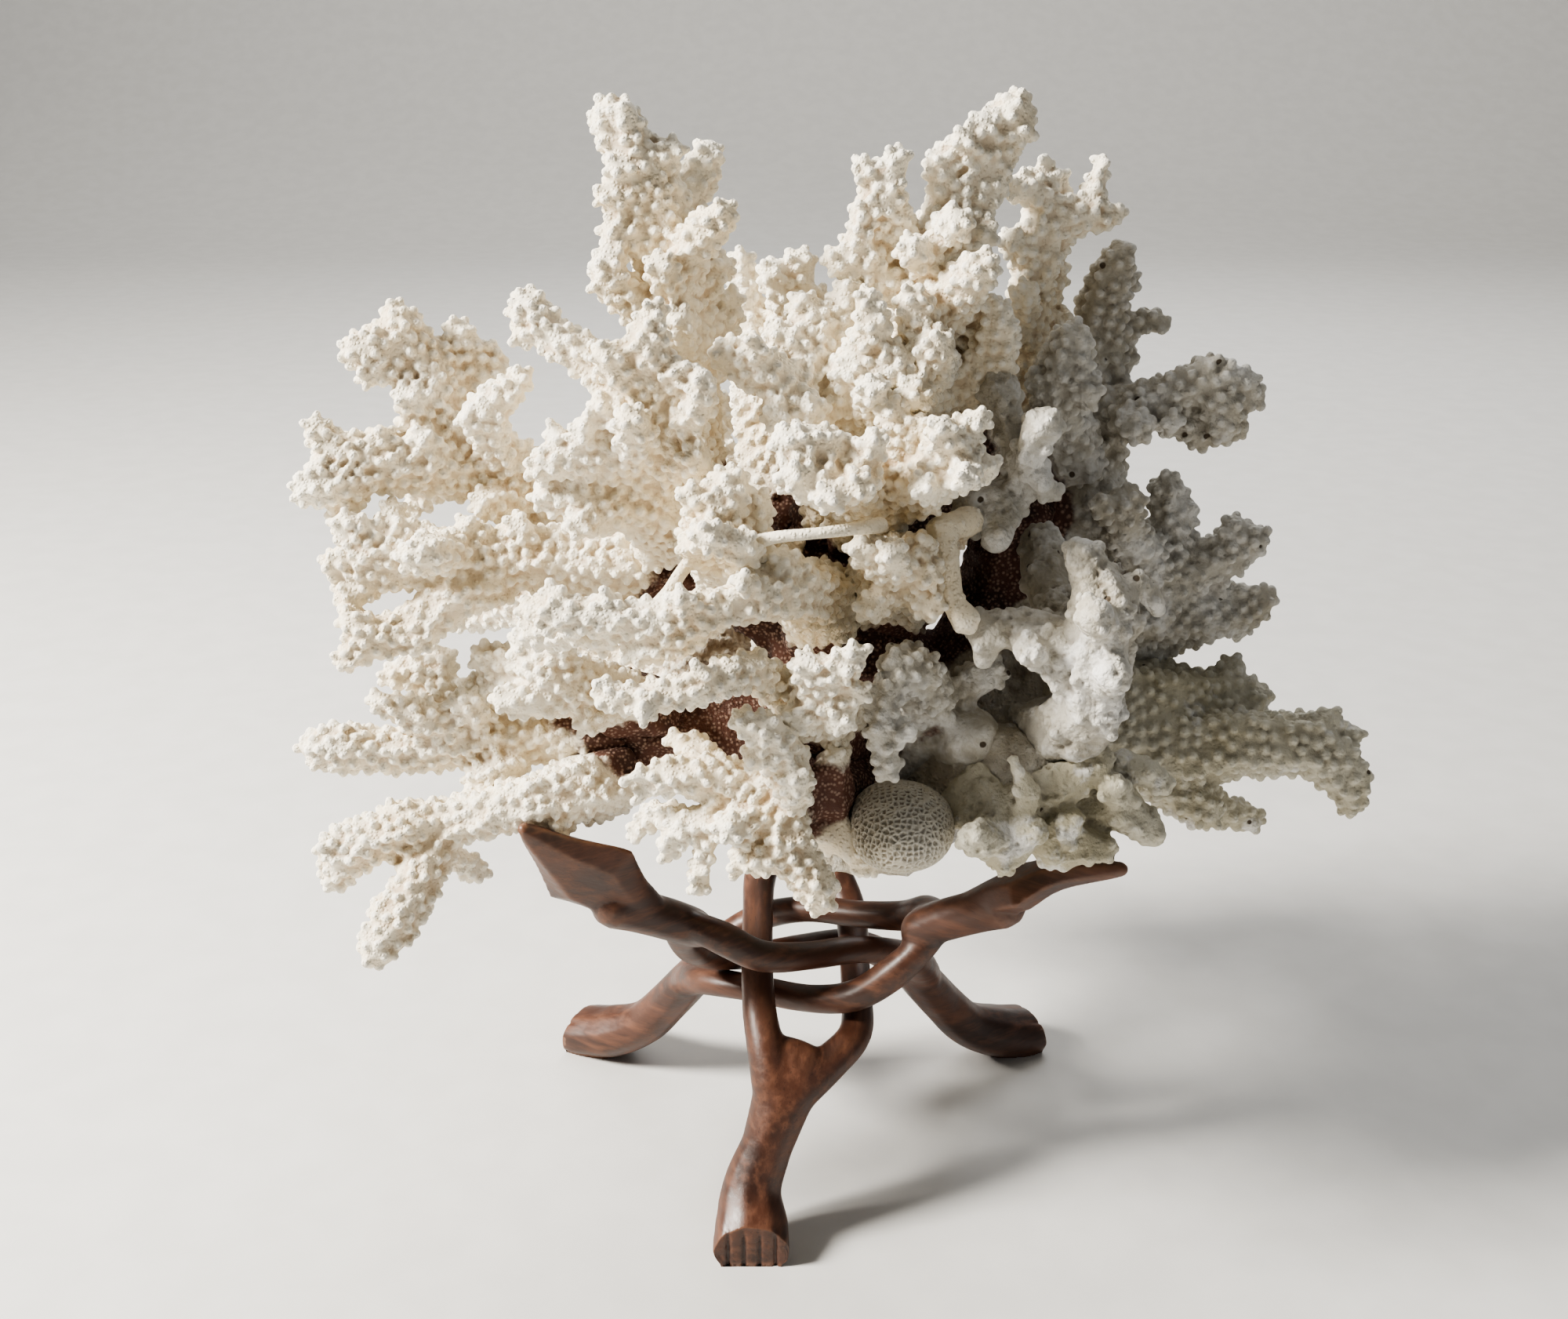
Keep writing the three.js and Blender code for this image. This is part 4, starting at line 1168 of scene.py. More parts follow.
class SkinTree:
    """Geometry Nodes that lump, crust and knob the skin of a coral piece."""

    NUMBERS = (
        "Lump Height",
        "Lump Size",
        "Crust Height",
        "Crust Size",
        "Knob Spacing",
        "Knob Radius",
        "Knob Rise",
    )

    def __init__(self) -> None:
        """Builds the tree."""
        self.tree = bpy.data.node_groups.new("coral_skin", "GeometryNodeTree")
        face = self.tree.interface
        face.new_socket("Geometry", in_out="INPUT", socket_type="NodeSocketGeometry")
        for name in self.NUMBERS:
            face.new_socket(name, in_out="INPUT", socket_type=FLOAT).default_value = 0.001
        face.new_socket("Seed", in_out="INPUT", socket_type="NodeSocketInt").default_value = SEED
        face.new_socket("Finish", in_out="INPUT", socket_type="NodeSocketMaterial")
        face.new_socket("Geometry", in_out="OUTPUT", socket_type="NodeSocketGeometry")
        w = Wiring(self.tree)
        given = w.node("NodeGroupInput")
        out = w.node("NodeGroupOutput")
        skin = self._ripple(w, given.outputs["Geometry"], given, "Lump", LUMP_OCTAVES)
        skin = self._ripple(w, skin, given, "Crust", CRUST_OCTAVES)
        knobs = self._knobs(w, skin, given)
        join = w.node("GeometryNodeJoinGeometry")
        w.feed(join.inputs[0], skin)
        w.feed(join.inputs[0], knobs)
        w.ended(join.outputs[0], given.outputs["Finish"], out)

    @staticmethod
    def _ripple(
        w: Wiring, skin: Socket, given: bpy.types.Node, kind: str, detail: float
    ) -> Socket:
        """Moves the skin in and out along its normals by noise.

        Args:
            w: the tree's wiring.
            skin: the socket with the geometry.
            given: the group's input node.
            kind: Lump or Crust, the name of the sizes to use.
            detail: octaves of the noise.

        Returns:
            The socket with the moved geometry.
        """
        place = w.node("GeometryNodeInputPosition").outputs[0]
        scale = w.math("DIVIDE", 1.0, given.outputs[f"{kind} Size"])
        ripple = w.math("SUBTRACT", w.noise(place, scale, detail), 0.5)
        full = w.math("MULTIPLY", given.outputs[f"{kind} Height"], RIPPLE_GAIN)
        if kind == "Crust":
            ripple = w.math("SUBTRACT", CRUST_RIDGE, w.math("ABSOLUTE", ripple))
            pitch = w.math("DIVIDE", PATCH_PITCH, given.outputs["Crust Size"])
            patches = w.noise(place, pitch, 1.0)
            full = w.math("MULTIPLY", full, w.spread(patches, *PATCH_EDGE, *PATCH_GAIN))
        return w.pushed(skin, w.math("MULTIPLY", ripple, full))

    @staticmethod
    def _knobs(w: Wiring, skin: Socket, given: bpy.types.Node) -> Socket:
        """Scatters round knobs that stand out of the skin.

        Args:
            w: the tree's wiring.
            skin: the socket with the geometry.
            given: the group's input node.

        Returns:
            The socket with the knobs as instances.
        """
        spacing = given.outputs["Knob Spacing"]
        grown = w.node("GeometryNodeInputNamedAttribute", data_type="FLOAT")
        grown.inputs["Name"].default_value = "grown"
        inputs = {
            "Mesh": skin,
            "Distance Min": spacing,
            "Density Max": w.math("DIVIDE", KNOB_TRIES, w.math("MULTIPLY", spacing, spacing)),
            "Density Factor": grown.outputs["Attribute"],
            "Seed": given.outputs["Seed"],
        }
        kind = "GeometryNodeDistributePointsOnFaces"
        spread = w.wired(kind, inputs, distribute_method="POISSON")
        inputs = {"Subdivisions": KNOB_ROUNDNESS, "Radius": given.outputs["Knob Radius"]}
        ball = w.wired("GeometryNodeMeshIcoSphere", inputs)
        kind = "FunctionNodeRandomValue"
        inputs = dict(zip(("Min", "Max"), KNOB_TILT))
        tilt = w.wired(kind, inputs, data_type="FLOAT_VECTOR")
        inputs = {0: spread.outputs["Rotation"], 1: tilt.outputs[0]}
        turn = w.wired("FunctionNodeRotateRotation", inputs, rotation_space="LOCAL")
        inputs = dict(zip(("Min", "Max", "Seed"), (*KNOB_GIRTH, SEED + 1)))
        girth = w.wired(kind, inputs, data_type="FLOAT_VECTOR")
        inputs = {
            "Points": spread.outputs["Points"],
            "Instance": ball.outputs["Mesh"],
            "Rotation": turn.outputs[0],
            "Scale": girth.outputs[0],
        }
        plant = w.wired("GeometryNodeInstanceOnPoints", inputs)
        rise = w.wired("ShaderNodeCombineXYZ", {"Z": given.outputs["Knob Rise"]})
        inputs = {"Instances": plant.outputs[0], "Translation": rise.outputs[0]}
        lift = w.wired("GeometryNodeTranslateInstances", inputs)
        return lift.outputs[0]

    def fit(
        self, thing: bpy.types.Object, growth: Growth, seed: int, finish: bpy.types.Material
    ) -> None:
        """Puts the tree on an object as a modifier with its sizes.

        Args:
            thing: the object.
            growth: the sizes.
            seed: the seed of the scatter.
            finish: the material of the result.
        """
        sizes = (
            growth.lump_height,
            growth.lump_size,
            growth.crust_height,
            growth.crust_size,
            growth.knob_spacing,
            growth.knob_radius,
            growth.knob_rise,
        )
        values: dict[str, object] = {
            name: size * MM for name, size in zip(self.NUMBERS, sizes)
        }
        values["Seed"] = seed
        values["Finish"] = finish
        fitted(thing, self.tree, values)


# ---------------------------------------------------------------- colony


@dataclass
class CoralColony:
    """The coral, piece by piece, from the CAD nodes of the same names."""

    parts: ShaderParts
    base_voxel: float = 1.3 * MM
    base_rounds: int = 7
    stick_rounds: int = 2
    sense: float = 8 * MM  # how far a piece looks for its neighbours
    meet: float = 2.4 * MM  # pieces swell towards each other within this distance
    swell: float = 0.55 * MM
    stain_reach: float = 15 * MM  # how far the brown runs out of the heart
    bare_reach: float = 11 * MM  # how far out of the heart the knobs start
    crusted: tuple[str, ...] = ("coral_bored_knob", "coral_crust_column", "coral_crust_lobes")
    worn: tuple[str, ...] = (
        "coral_right_high",
        "coral_right",
        "coral_right_low",
        "coral_front_column",
        "coral_back_right",
    )
    beige: tuple[str, ...] = ("coral_right_low", "coral_crust_lobes")
    pale_side: Span = (24 * MM, 37 * MM)  # where the heart turns pale towards +X
    pale_foot: Span = (124 * MM, 112 * MM)  # and all of its foot is pale towards +X
    pale_from: Span = (-12 * MM, 0.0)  # where that paleness begins along X
    pale_level: float = 140 * MM  # at this height; lower down it turns pale sooner
    heart: str = "coral_stem"
    twig: str = "coral_bony_twig"
    nodes: list = field(default_factory=list)

    def __post_init__(self) -> None:
        """Makes the finishes, the skin tree and the search trees."""
        self.nodes = sorted(
            name
            for name in (item["node"] for item in RECORD["subparts"])
            if name.startswith("coral")
        )
        self.skin_tree = SkinTree()
        self.bleached = CoralFinish(
            "bleached_coral",
            pale=(0.87, 0.81, 0.68, 1),
            warm=(0.82, 0.725, 0.555, 1),
            tip=(0.93, 0.90, 0.82, 1),
            crevice_shade=(0.44, 0.31, 0.19, 1),
        ).material(self.parts)
        self.chalky = CoralFinish(
            "chalk_crusted_coral",
            pale=(0.56, 0.535, 0.475, 1),
            warm=(0.46, 0.42, 0.34, 1),
            tip=(0.78, 0.765, 0.72, 1),
            crevice_shade=(0.20, 0.165, 0.125, 1),
            chalk_share=0.6,
            holes=0.09,
            granule_size=0.0013,
            rust_from=-0.22,
        ).material(self.parts)
        self.sandy = CoralFinish(
            "sandy_coral",
            pale=(0.60, 0.565, 0.46, 1),
            warm=(0.50, 0.455, 0.33, 1),
            tip=(0.74, 0.715, 0.62, 1),
            crevice_shade=(0.24, 0.20, 0.14, 1),
            chalk_share=0.25,
            holes=0.06,
            granule_size=0.0013,
            rust_from=-0.25,
        ).material(self.parts)
        self.stained = CoralFinish(
            "stained_heart",
            pale=(0.60, 0.565, 0.49, 1),
            warm=(0.50, 0.445, 0.35, 1),
            tip=(0.74, 0.71, 0.64, 1),
            crevice_shade=(0.24, 0.18, 0.125, 1),
            chalk_share=0.4,
            bump_depth=0.0005,
        ).material(self.parts)
        self.heart_tree = bvhtree.BVHTree.FromBMesh(node_copy(self.heart))

    def skin_of(self, node: str) -> Skin:
        """The kind of skin of a piece."""
        if node == self.heart:
            return Skin.HEART
        if node == self.twig:
            return Skin.BONY
        if node in self.worn:
            return Skin.WORN
        return Skin.CRUSTED if node in self.crusted else Skin.KNOBBED

    def finish_of(self, node: str) -> bpy.types.Material:
        """The material of a piece."""
        if node == self.heart:
            return self.stained
        if node in self.beige:
            return self.sandy
        return self.chalky if node in self.crusted + self.worn else self.bleached

    def neighbours(self, node: str) -> bvhtree.BVHTree:
        """A search tree of all the other coral nodes."""
        rest = bmesh.new()
        for other in self.nodes + ["honeycomb_coral"]:
            if other != node:
                rest.from_mesh(bpy.data.objects[other].data)
        tree = bvhtree.BVHTree.FromBMesh(rest)
        rest.free()
        return tree

    def base(self, node: str, growth: Growth) -> bpy.types.Mesh:
        """The rounded bars and twigs of a piece, before its skin grows.

        Args:
            node: the CAD node's name.
            growth: the sizes of its skin.

        Returns:
            A mesh with the attribute grown, 1 where knobs grow.
        """
        built = node_copy(node)
        twigs = TWIGS.get(node, ())
        joined([tube([on_sheet(station) for station in twig]) for twig in twigs], built)
        mesh = mesh_from(built, f"{node}_skin")
        voxel = min(self.base_voxel, growth.voxel * MM * 1.6)
        mesh = remeshed(mesh, voxel, self.base_rounds)
        places = vertex_array(mesh)
        gap = distance_to(self.neighbours(node), places, self.sense)
        share = smoothstep(self.meet, 2.5 * self.meet, gap)
        offset = self.swell * (1 - share) - growth.draw_in * MM * share
        place_vertices(mesh, places + normal_array(mesh) * offset[:, None])
        grown = np.ones(len(places))
        if node != self.heart:
            root = distance_to(self.heart_tree, places, 2 * self.bare_reach)
            grown = smoothstep(0.35 * self.bare_reach, self.bare_reach, root)
        store(mesh, "grown", grown)
        return mesh

    def piece(self, node: str, seed: int) -> bpy.types.Object:
        """One finished piece of the coral.

        Args:
            node: the CAD node's name.
            seed: the seed of its knobs.

        Returns:
            The piece's object.
        """
        growth = self.skin_of(node).value
        finish = self.finish_of(node)
        thing = carrier(f"{node}_skin", self.base(node, growth))
        self.skin_tree.fit(thing, growth, seed, finish)
        mesh = baked(thing.name, thing)
        mesh = remeshed(mesh, growth.voxel * MM, 0, growth.keep)
        largest_part(mesh)
        dress(mesh, finish)
        self.weather(mesh, node)
        return carrier(f"{node}_skin", mesh)

    def weather(self, mesh: bpy.types.Mesh, node: str) -> None:
        """Stores where a piece stands out and where the brown stain reaches.

        Args:
            mesh: the finished mesh.
            node: the CAD node's name.
        """
        store(mesh, "relief", relief_of(mesh, FINE_RELIEF))
        places = vertex_array(mesh)
        if node == self.heart:
            rust = np.full(len(places), 0.95)
        else:
            reach = self.stain_reach
            rust = 1 - smoothstep(0.1 * reach, reach, distance_to(self.heart_tree, places, reach))
        side = places[:, 0] - (places[:, 2] - self.pale_level)
        rust *= 1 - smoothstep(*self.pale_side, side)
        foot = smoothstep(*self.pale_foot, places[:, 2])
        rust *= 1 - foot * smoothstep(*self.pale_from, places[:, 0])
        store(mesh, "rust", rust)

    def sticks(self) -> bpy.types.Object:
        """The thin bare sticks in front of the colony, as one piece."""
        growth = Skin.BONY.value
        bars = bmesh.new()
        joined([tube([on_sheet(station) for station in stick]) for stick in STICKS], bars)
        mesh = remeshed(mesh_from(bars, "bare_sticks"), growth.voxel * MM, self.stick_rounds)
        dress(mesh, self.bleached)
        store(mesh, "relief", relief_of(mesh, FINE_RELIEF))
        store(mesh, "rust", np.zeros(len(mesh.vertices)))
        return carrier("bare_sticks", mesh)

    def build(self) -> None:
        """Builds every piece and seats it on the part's body."""
        for index, node in enumerate(self.nodes):
            thing = self.piece(node, SEED + index)
            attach(thing, "root")
            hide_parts(node)
            report(thing)
        thing = self.sticks()
        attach(thing, "root")
        report(thing)


@dataclass
class HoneycombDome:
    """The massive coral with a honeycomb of small pits."""

    parts: ShaderParts
    node: str = "honeycomb_coral"
    voxel: float = 0.33 * MM
    cell: float = 1.45 * MM
    pit: float = 0.6 * MM
    rounds: int = 2
    relief_rounds: int = 4
    unevenness: float = 0.06  # how far the dome leaves its ellipsoid, as a share of it

    def build(self) -> None:
        """Builds the dome and seats it on the part's body."""
        low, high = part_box(self.node)
        half = (high - low) / 2
        ball = bmesh.new()
        bmesh.ops.create_uvsphere(ball, u_segments=48, v_segments=32, radius=1.0)
        for vert in ball.verts:
            ripple = math.sin(2.1 * vert.co.x + 1.0) * math.cos(2.6 * vert.co.z)
            wave = 1 + self.unevenness * ripple
            vert.co = (low + high) / 2 + Vector(a * b for a, b in zip(vert.co, half)) * wave
        mesh = remeshed(mesh_from(ball, f"{self.node}_skin"), self.voxel, self.rounds)
        thing = carrier(mesh.name, mesh)
        finish = self.finish()
        self.pits(thing, finish)
        mesh = baked(thing.name, thing)
        dress(mesh, finish)
        store(mesh, "relief", relief_of(mesh, self.relief_rounds))
        store(mesh, "rust", np.zeros(len(mesh.vertices)))
        thing = carrier(f"{self.node}_skin", mesh)
        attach(thing, "root")
        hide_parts(self.node)
        slot_of(self.node)
        report(thing)

    def finish(self) -> bpy.types.Material:
        """The pale limy finish, with painted shade that darkens the pits."""
        return CoralFinish(
            "honeycomb_lime",
            pale=(0.62, 0.585, 0.505, 1),
            warm=(0.52, 0.47, 0.37, 1),
            tip=(0.78, 0.755, 0.69, 1),
            crevice_shade=(0.17, 0.13, 0.09, 1),
            relief_depth=0.00014,
            granule_size=0.0006,
            bump_depth=0.0001,
        ).material(self.parts)

    def pits(self, thing: bpy.types.Object, finish: bpy.types.Material) -> None:
        """Adds Geometry Nodes that sink a pit in the middle of every cell.

        Args:
            thing: the dome's object.
            finish: its material.
        """
        tree = bpy.data.node_groups.new("honeycomb", "GeometryNodeTree")
        face = tree.interface
        face.new_socket("Geometry", in_out="INPUT", socket_type="NodeSocketGeometry")
        for name in ("Cell Size", "Pit Depth"):
            face.new_socket(name, in_out="INPUT", socket_type=FLOAT)
        face.new_socket("Finish", in_out="INPUT", socket_type="NodeSocketMaterial")
        face.new_socket("Geometry", in_out="OUTPUT", socket_type="NodeSocketGeometry")
        w = Wiring(tree)
        given = w.node("NodeGroupInput")
        out = w.node("NodeGroupOutput")
        place = w.node("GeometryNodeInputPosition").outputs[0]
        scale = w.math("DIVIDE", 1.0, given.outputs["Cell Size"])
        cells = w.cells(place, scale, "DISTANCE_TO_EDGE", 0.6)
        sunk = w.spread(cells.outputs["Distance"], 0.03, 0.26, 0.0, -1.0)
        height = w.math("MULTIPLY", sunk, given.outputs["Pit Depth"])
        w.ended(w.pushed(given.outputs["Geometry"], height), given.outputs["Finish"], out)
        fitted(thing, tree, {"Cell Size": self.cell, "Pit Depth": self.pit, "Finish": finish})


# ---------------------------------------------------------------- stand


@dataclass(frozen=True)
class Limb:
    """How one carved limb lies and how its head is shaped: degrees and millimetres."""

    node: str
    heading: float
    reach: float
    lean: float
    hood: float
    roll: float
    nose: float
    rise: float

    @property
    def forward(self) -> Vector:
        """The level direction from the foot to the head."""
        turn = math.radians(self.heading)
        return Vector((math.cos(turn), math.sin(turn), 0.0))

    @property
    def left(self) -> Vector:
        """The level direction to the left of forward."""
        return Vector((-self.forward.y, self.forward.x, 0.0))


# Stretches of a limb in its own drawing: (u, v, z, half width, half height), where u
# runs from the foot to the head and v to the left of that.
LEG: Stretch = (
    (-76, 0, 3.5, 9.4, 5.6), (-70, 0, 4.6, 10, 7),
    (-61, 0, 8, 9.6, 7.6), (-52, 0, 14.5, 7.8, 6.6),
    (-45, 0, 24, 6.8, 6.2), (-39, 0, 33, 7.8, 6),
    (-34, 0, 40, 9.4, 5.4), (-31, 0, 43, 10, 4.6),
)
HIGH_STRAND: Stretch = (
    (-37, 3, 38, 5.4, 5), (-31, 8, 46, 4.9, 4.8),
    (-23, 12.4, 53, 4.5, 4), (-8, 13, 59.8, 4.3, 3.6),
    (8, 13, 63, 4.3, 3.6), (22, 12.4, 67, 4.7, 4.1),
    (31, 8, 73, 4.8, 4.4), (38, 2, 77, 3.6, 3.4),
)
LOW_STRAND: Stretch = (
    (-37, -3, 36, 5.4, 4.8), (-31, -8, 41, 4.9, 4.4),
    (-23, -12.4, 45, 4.5, 3.8), (-8, -13, 48, 4.3, 3.5),
    (8, -13, 50.4, 4.3, 3.5), (22, -12.4, 55.4, 4.7, 4.1),
    (31, -8, 63, 4.9, 4.5), (38, -2, 72, 3.8, 3.6),
)
NECK: Stretch = (
    (34, 0, 73, 6.6, 5), (42, 0, 78, 5.8, 5.4),
    (51, 0, 83, 5.6, 5.4), (57, 0, 86, 6, 5.4),
)


@dataclass
class SerpentStand:
    """The three carved limbs that weave through each other."""

    parts: ShaderParts
    voxel: float = 0.55 * MM
    keep: float = 0.45  # the share of the faces that is kept
    head_rounds: int = 3  # light smoothing keeps the facets of the head
    body_rounds: int = 20
    facets: Span = (52 * MM, 60 * MM)  # along the limb, where the facets begin
    round_sides: int = 16
    leg_sides: int = 9
    head_sides: int = 6
    sole: float = 0.7 * MM  # below this height a foot is planed flat
    centre: Vector = field(default_factory=lambda: (STAND_CENTRE + SHIFT) * MM)
    relief_rounds: int = 14
    foot_reach: float = 72.0  # of the drawing, before a limb's own reach
    fork_reach: float = 36.0
    lean_span: Span = (26.0, 52.0)  # where a leg starts to lean and where it has leant
    grooves: tuple[float, ...] = (-1.5, -0.5, 0.5, 1.5)
    groove_pitch: float = 3.9 * MM
    groove_depth: float = 0.75 * MM
    groove_half: float = 0.5 * MM
    toe_length: float = 5.0 * MM
    toe_height: float = 9.0 * MM
    limbs: tuple[Limb, ...] = (
        Limb("stand_front_limb", 90.0, 58.0, 14.0, 10.0, 25.0, 84.0, 12.0),
        Limb("stand_left_limb", 213.0, 79.0, 0.0, 13.5, 62.0, 80.0, 24.6),
        Limb("stand_right_limb", -33.0, 79.0, 0.0, 9.0, 14.0, 87.0, 16.4),
    )

    def placed(self, stretch: Stretch, limb: Limb) -> list[Station]:
        """The stations of a limb's stretch, from its drawing to the stand's frame.

        Args:
            stretch: stations (u, v, z, half width, half height).
            limb: the limb.

        Returns:
            The stations in metres.
        """
        start, end = self.lean_span
        found = []
        for u, v, z, wide, high in stretch:
            leg_share = max(0.0, -u - self.fork_reach) / (self.foot_reach - self.fork_reach)
            along = u - leg_share * (limb.reach - self.foot_reach)
            lean = limb.lean * min(max((-u - start) / (end - start), 0.0), 1.0)
            place = (limb.forward * along + limb.left * (v + lean) + Vector((0, 0, z))) * MM
            found.append(Station(self.centre + place, wide * MM, high * MM))
        return found

    def bars(self, limb: Limb) -> bmesh.types.BMesh:
        """The leg, the two strands round the eye, the neck and the head of a limb.

        Args:
            limb: the limb.

        Returns:
            Closed tubes that pass through each other.
        """
        rise, hood = limb.rise, limb.hood
        head = (
            (46, 0, 81, 4.8, 4.6),
            (55, 0, 85.5 + rise * 0.14, hood * 0.66, 5.2),
            (62.5, 0, 86.6 + rise * 0.4, hood, 4.8),
            (71, 0, 87.8 + rise * 0.68, hood * 0.52, 3.8),
            (limb.nose - 1, 0, 88 + rise, 1.8, 2),
        )
        rolled = limb.left.copy()
        rolled.rotate(Quaternion(limb.forward, math.radians(limb.roll)))
        whole = bmesh.new()
        stretches = [(LEG, self.leg_sides)]
        stretches += [(stretch, self.round_sides) for stretch in (HIGH_STRAND, LOW_STRAND, NECK)]
        tubes = [tube(self.placed(stretch, limb), sides, limb.left) for stretch, sides in stretches]
        tubes.append(tube(self.placed(head, limb), self.head_sides, rolled))
        joined(tubes, whole)
        return whole

    def toes(self, limb: Limb, places: np.ndarray, normals: np.ndarray) -> np.ndarray:
        """How deep the toe grooves cut at each vertex, in metres.

        Args:
            limb: the limb.
            places: its vertices.
            normals: their normals.

        Returns:
            The depth below the skin.
        """
        from_centre = places - np.array(self.centre)
        along = from_centre @ np.array(limb.forward) + limb.reach * MM
        across = from_centre @ np.array(limb.left) - limb.lean * MM
        cut = np.zeros(len(places))
        for groove in self.grooves:
            off = (across - groove * self.groove_pitch) / self.groove_half
            cut = np.maximum(cut, np.exp(-off * off))
        cut *= smoothstep(self.toe_length, 0.5 * self.toe_length, along)
        cut *= smoothstep(1.3 * self.toe_height, 0.8 * self.toe_height, places[:, 2])
        cut *= smoothstep(-0.2, 0.5, -(normals @ np.array(limb.forward)))
        return cut * self.groove_depth

    def limb(self, limb: Limb) -> bpy.types.Object:
        """One carved limb.

        Args:
            limb: where it lies.

        Returns:
            The limb's object.
        """
        mesh = mesh_from(self.bars(limb), f"{limb.node}_carved")
        mesh = remeshed(mesh, self.voxel, self.head_rounds)
        places = vertex_array(mesh)
        from_centre = places - np.array(self.centre)
        along = from_centre @ np.array(limb.forward)
        softer = averaged(mesh, places, self.body_rounds)
        faceted = smoothstep(*self.facets, along)[:, None]
        places = softer + (places - softer) * faceted
        beyond = np.minimum(along + limb.reach * MM, 0.0)
        places -= beyond[:, None] * np.array(limb.forward)
        place_vertices(mesh, places)
        normals = normal_array(mesh)
        places -= normals * self.toes(limb, places, normals)[:, None]
        low = places[:, 2]
        places[:, 2] = np.where(low < self.sole, 0.0, low)
        place_vertices(mesh, places)
        mesh = thinned(mesh, self.keep)
        turn = -math.radians(limb.heading)
        dress(mesh, WoodFinish(f"{limb.node}_wood", turn).material(self.parts))
        store(mesh, "relief", relief_of(mesh, self.relief_rounds))
        return carrier(f"{limb.node}_carved", mesh)

    def build(self) -> None:
        """Builds the limbs and seats them on the part's body."""
        for limb in self.limbs:
            thing = self.limb(limb)
            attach(thing, "root")
            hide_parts(limb.node)
            slot_of(limb.node)
            report(thing)


# ---------------------------------------------------------------- studio


OBJECT = (0.0, 0.0, 0.13)  # the middle of the object, in metres
WALL = (0.0, 2.2, 0.6)


@dataclass(frozen=True)
class Lamp:
    """One square soft light: metres, watts and a colour."""

    name: str
    place: tuple[float, float, float]
    aim: tuple[float, float, float]
    size: float
    power: float
    colour: tuple[float, float, float]


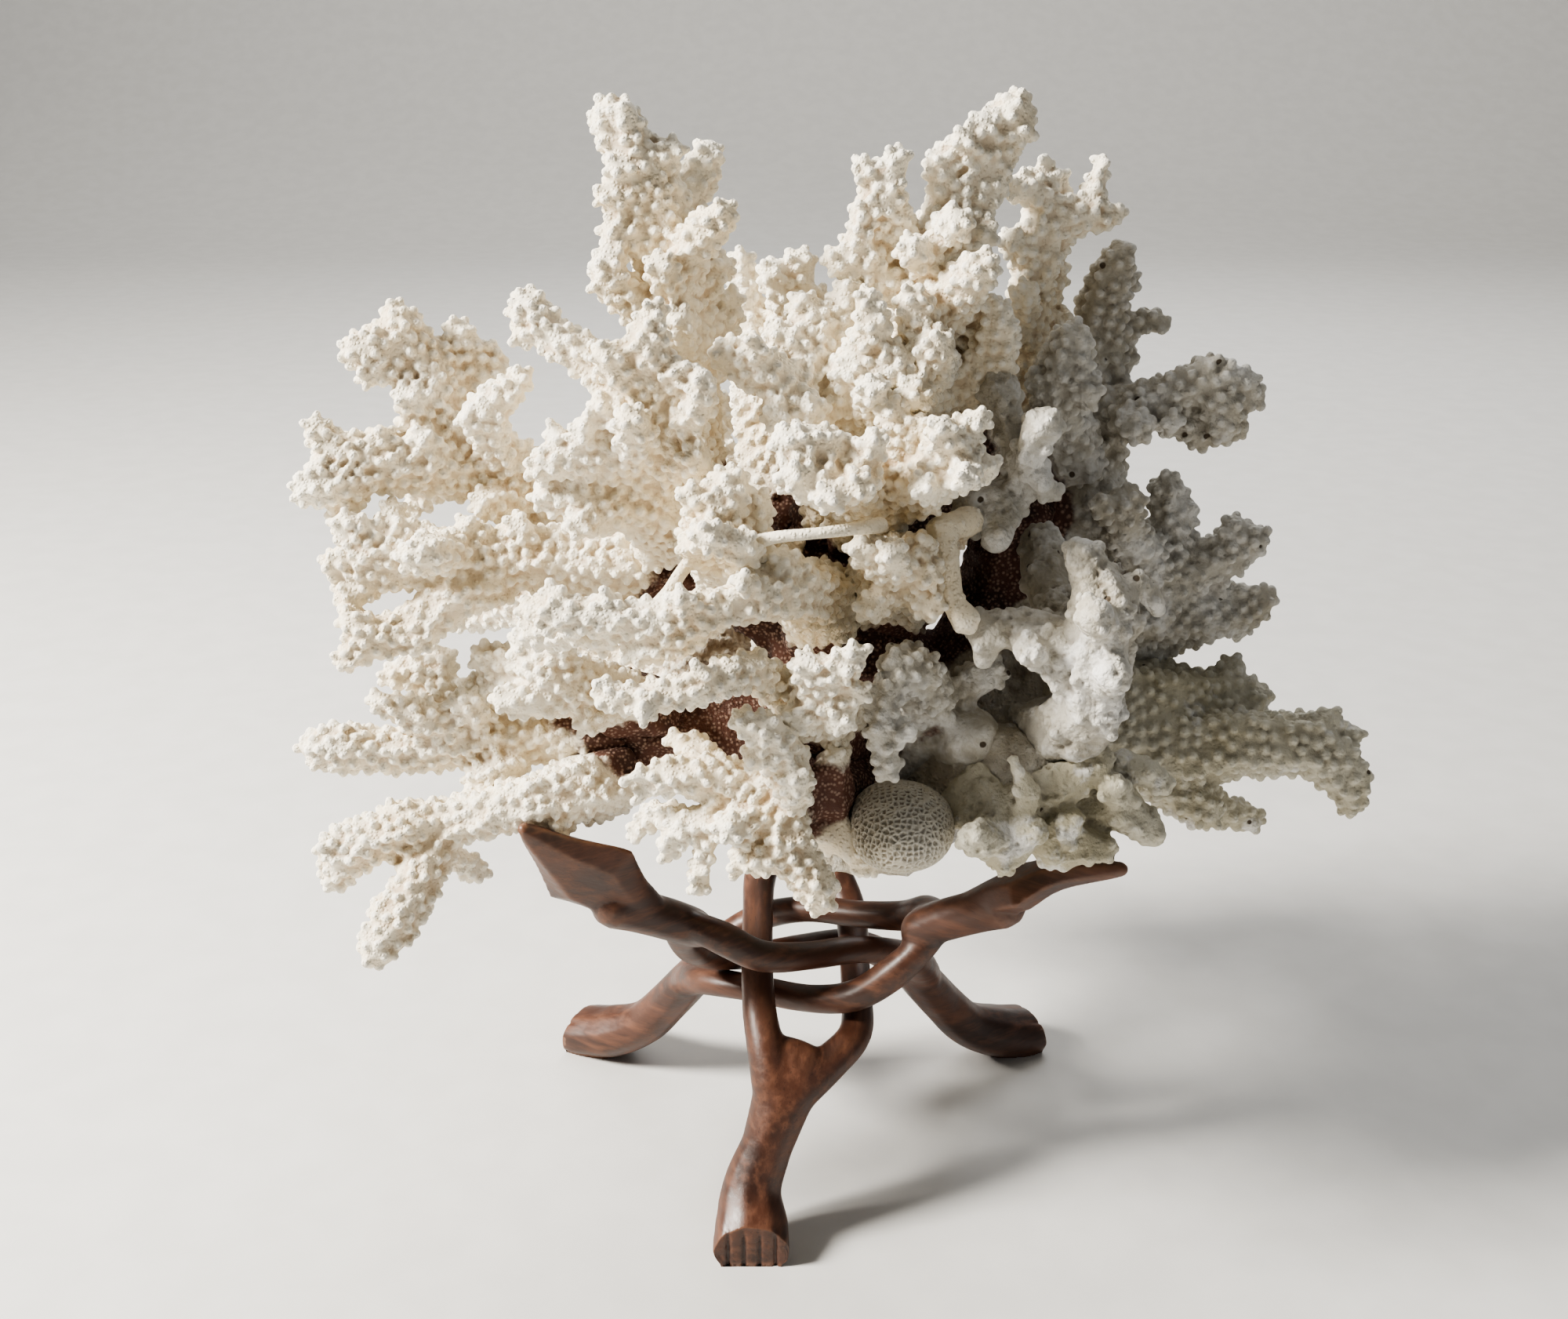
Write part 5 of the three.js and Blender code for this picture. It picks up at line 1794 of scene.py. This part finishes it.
@dataclass
class Studio:
    """A pale floor, soft light and the camera."""

    eye: Vector = field(default_factory=lambda: (EYE + SHIFT) * MM)
    pitch: float = 21.0  # degrees below level
    lens: float = 41.4
    sensor: float = 36.0
    floor_size: float = 6.0
    wall: float = 1.6  # how far behind the object the floor starts to sweep up
    wall_bend: float = 0.9
    wall_steps: int = 16
    wall_height: float = 3.0
    tones: tuple[Colour, Colour] = ((0.60, 0.59, 0.57, 1), (0.63, 0.62, 0.60, 1))
    room: Colour = (0.80, 0.80, 0.79, 1)
    room_strength: float = 0.12
    look: str = "AgX - Medium High Contrast"
    lamps: tuple[Lamp, ...] = (
        Lamp("window", (-0.95, -0.22, 0.80), OBJECT, 0.30, 46.0, (1.0, 0.96, 0.89)),
        Lamp("fill", (0.9, -0.9, 0.6), OBJECT, 1.2, 1.1, (0.90, 0.95, 1.0)),
        Lamp("back", (0.3, 1.1, 1.0), OBJECT, 0.8, 7.0, (0.97, 0.98, 1.0)),
        Lamp("sweep", (0.0, 0.9, 2.2), WALL, 2.0, 30.0, (1.0, 0.99, 0.97)),
    )

    def floor(self) -> None:
        """A plain pale floor at the soles that sweeps up into a wall far behind."""
        half = self.floor_size / 2
        bend = self.wall_bend
        profile = [(-half, 0.0)]
        for step in range(self.wall_steps + 1):
            turn = 0.5 * math.pi * step / self.wall_steps
            profile.append((self.wall + bend * math.sin(turn), bend * (1 - math.cos(turn))))
        profile.append((self.wall + bend, self.wall_height))
        corners = [(side * half, y, z) for y, z in profile for side in (-1, 1)]
        faces = [(2 * k, 2 * k + 1, 2 * k + 3, 2 * k + 2) for k in range(len(profile) - 1)]
        mesh = bpy.data.meshes.new("floor")
        mesh.from_pydata(corners, [], faces)
        mesh.shade_smooth()
        d = Dresser("pale_floor")
        tone = d.spread(d.noise(d.place, 60.0, 4.0), 0.3, 0.7)
        d.surface(d.blend(tone, *self.tones), 0.8, 0.15)
        mesh.materials.append(d.material)
        carrier("floor", mesh)

    def light(self, given: Lamp) -> None:
        """Hangs one square soft light that faces the middle of what it lights."""
        lamp = bpy.data.lights.new(given.name, "AREA")
        lamp.shape = "SQUARE"
        lamp.size = given.size
        lamp.energy = given.power
        lamp.color = given.colour
        thing = bpy.data.objects.new(given.name, lamp)
        thing.location = given.place
        way = Vector(given.aim) - Vector(given.place)
        thing.rotation_euler = way.to_track_quat("-Z", "Y").to_euler()
        bpy.context.scene.collection.objects.link(thing)

    def camera(self) -> None:
        """The camera in front of the coral, looking down at it."""
        data = bpy.data.cameras.new("camera")
        data.lens = self.lens
        data.sensor_width = self.sensor
        data.clip_start = 0.01
        thing = bpy.data.objects.new("camera", data)
        thing.location = self.eye
        thing.rotation_euler = (math.radians(90 - self.pitch), 0.0, 0.0)
        bpy.context.scene.collection.objects.link(thing)
        bpy.context.scene.camera = thing

    def build(self) -> None:
        """Sets the floor, the lights, the world and the camera."""
        self.floor()
        for lamp in self.lamps:
            self.light(lamp)
        world = bpy.data.worlds.new("room")
        world.use_nodes = True
        ground = world.node_tree.nodes["Background"]
        ground.inputs["Color"].default_value = self.room
        ground.inputs["Strength"].default_value = self.room_strength
        bpy.context.scene.world = world
        bpy.context.scene.view_settings.look = self.look
        self.camera()


# ---------------------------------------------------------------- assembly

def slot_of(node: str) -> str:
    """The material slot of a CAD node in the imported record."""
    return next(item["material_slot"] for item in RECORD["subparts"] if item["node"] == node)


def main() -> None:
    """Builds the coral, the stand and the studio."""
    logging.basicConfig(level=logging.INFO, format="%(name)s %(message)s")
    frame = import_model()
    RECORD.update(frame["record"])
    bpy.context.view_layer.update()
    parts = ShaderParts()
    Studio().build()
    SerpentStand(parts).build()
    HoneycombDome(parts).build()
    CoralColony(parts).build()


if __name__ == "__main__":
    main()
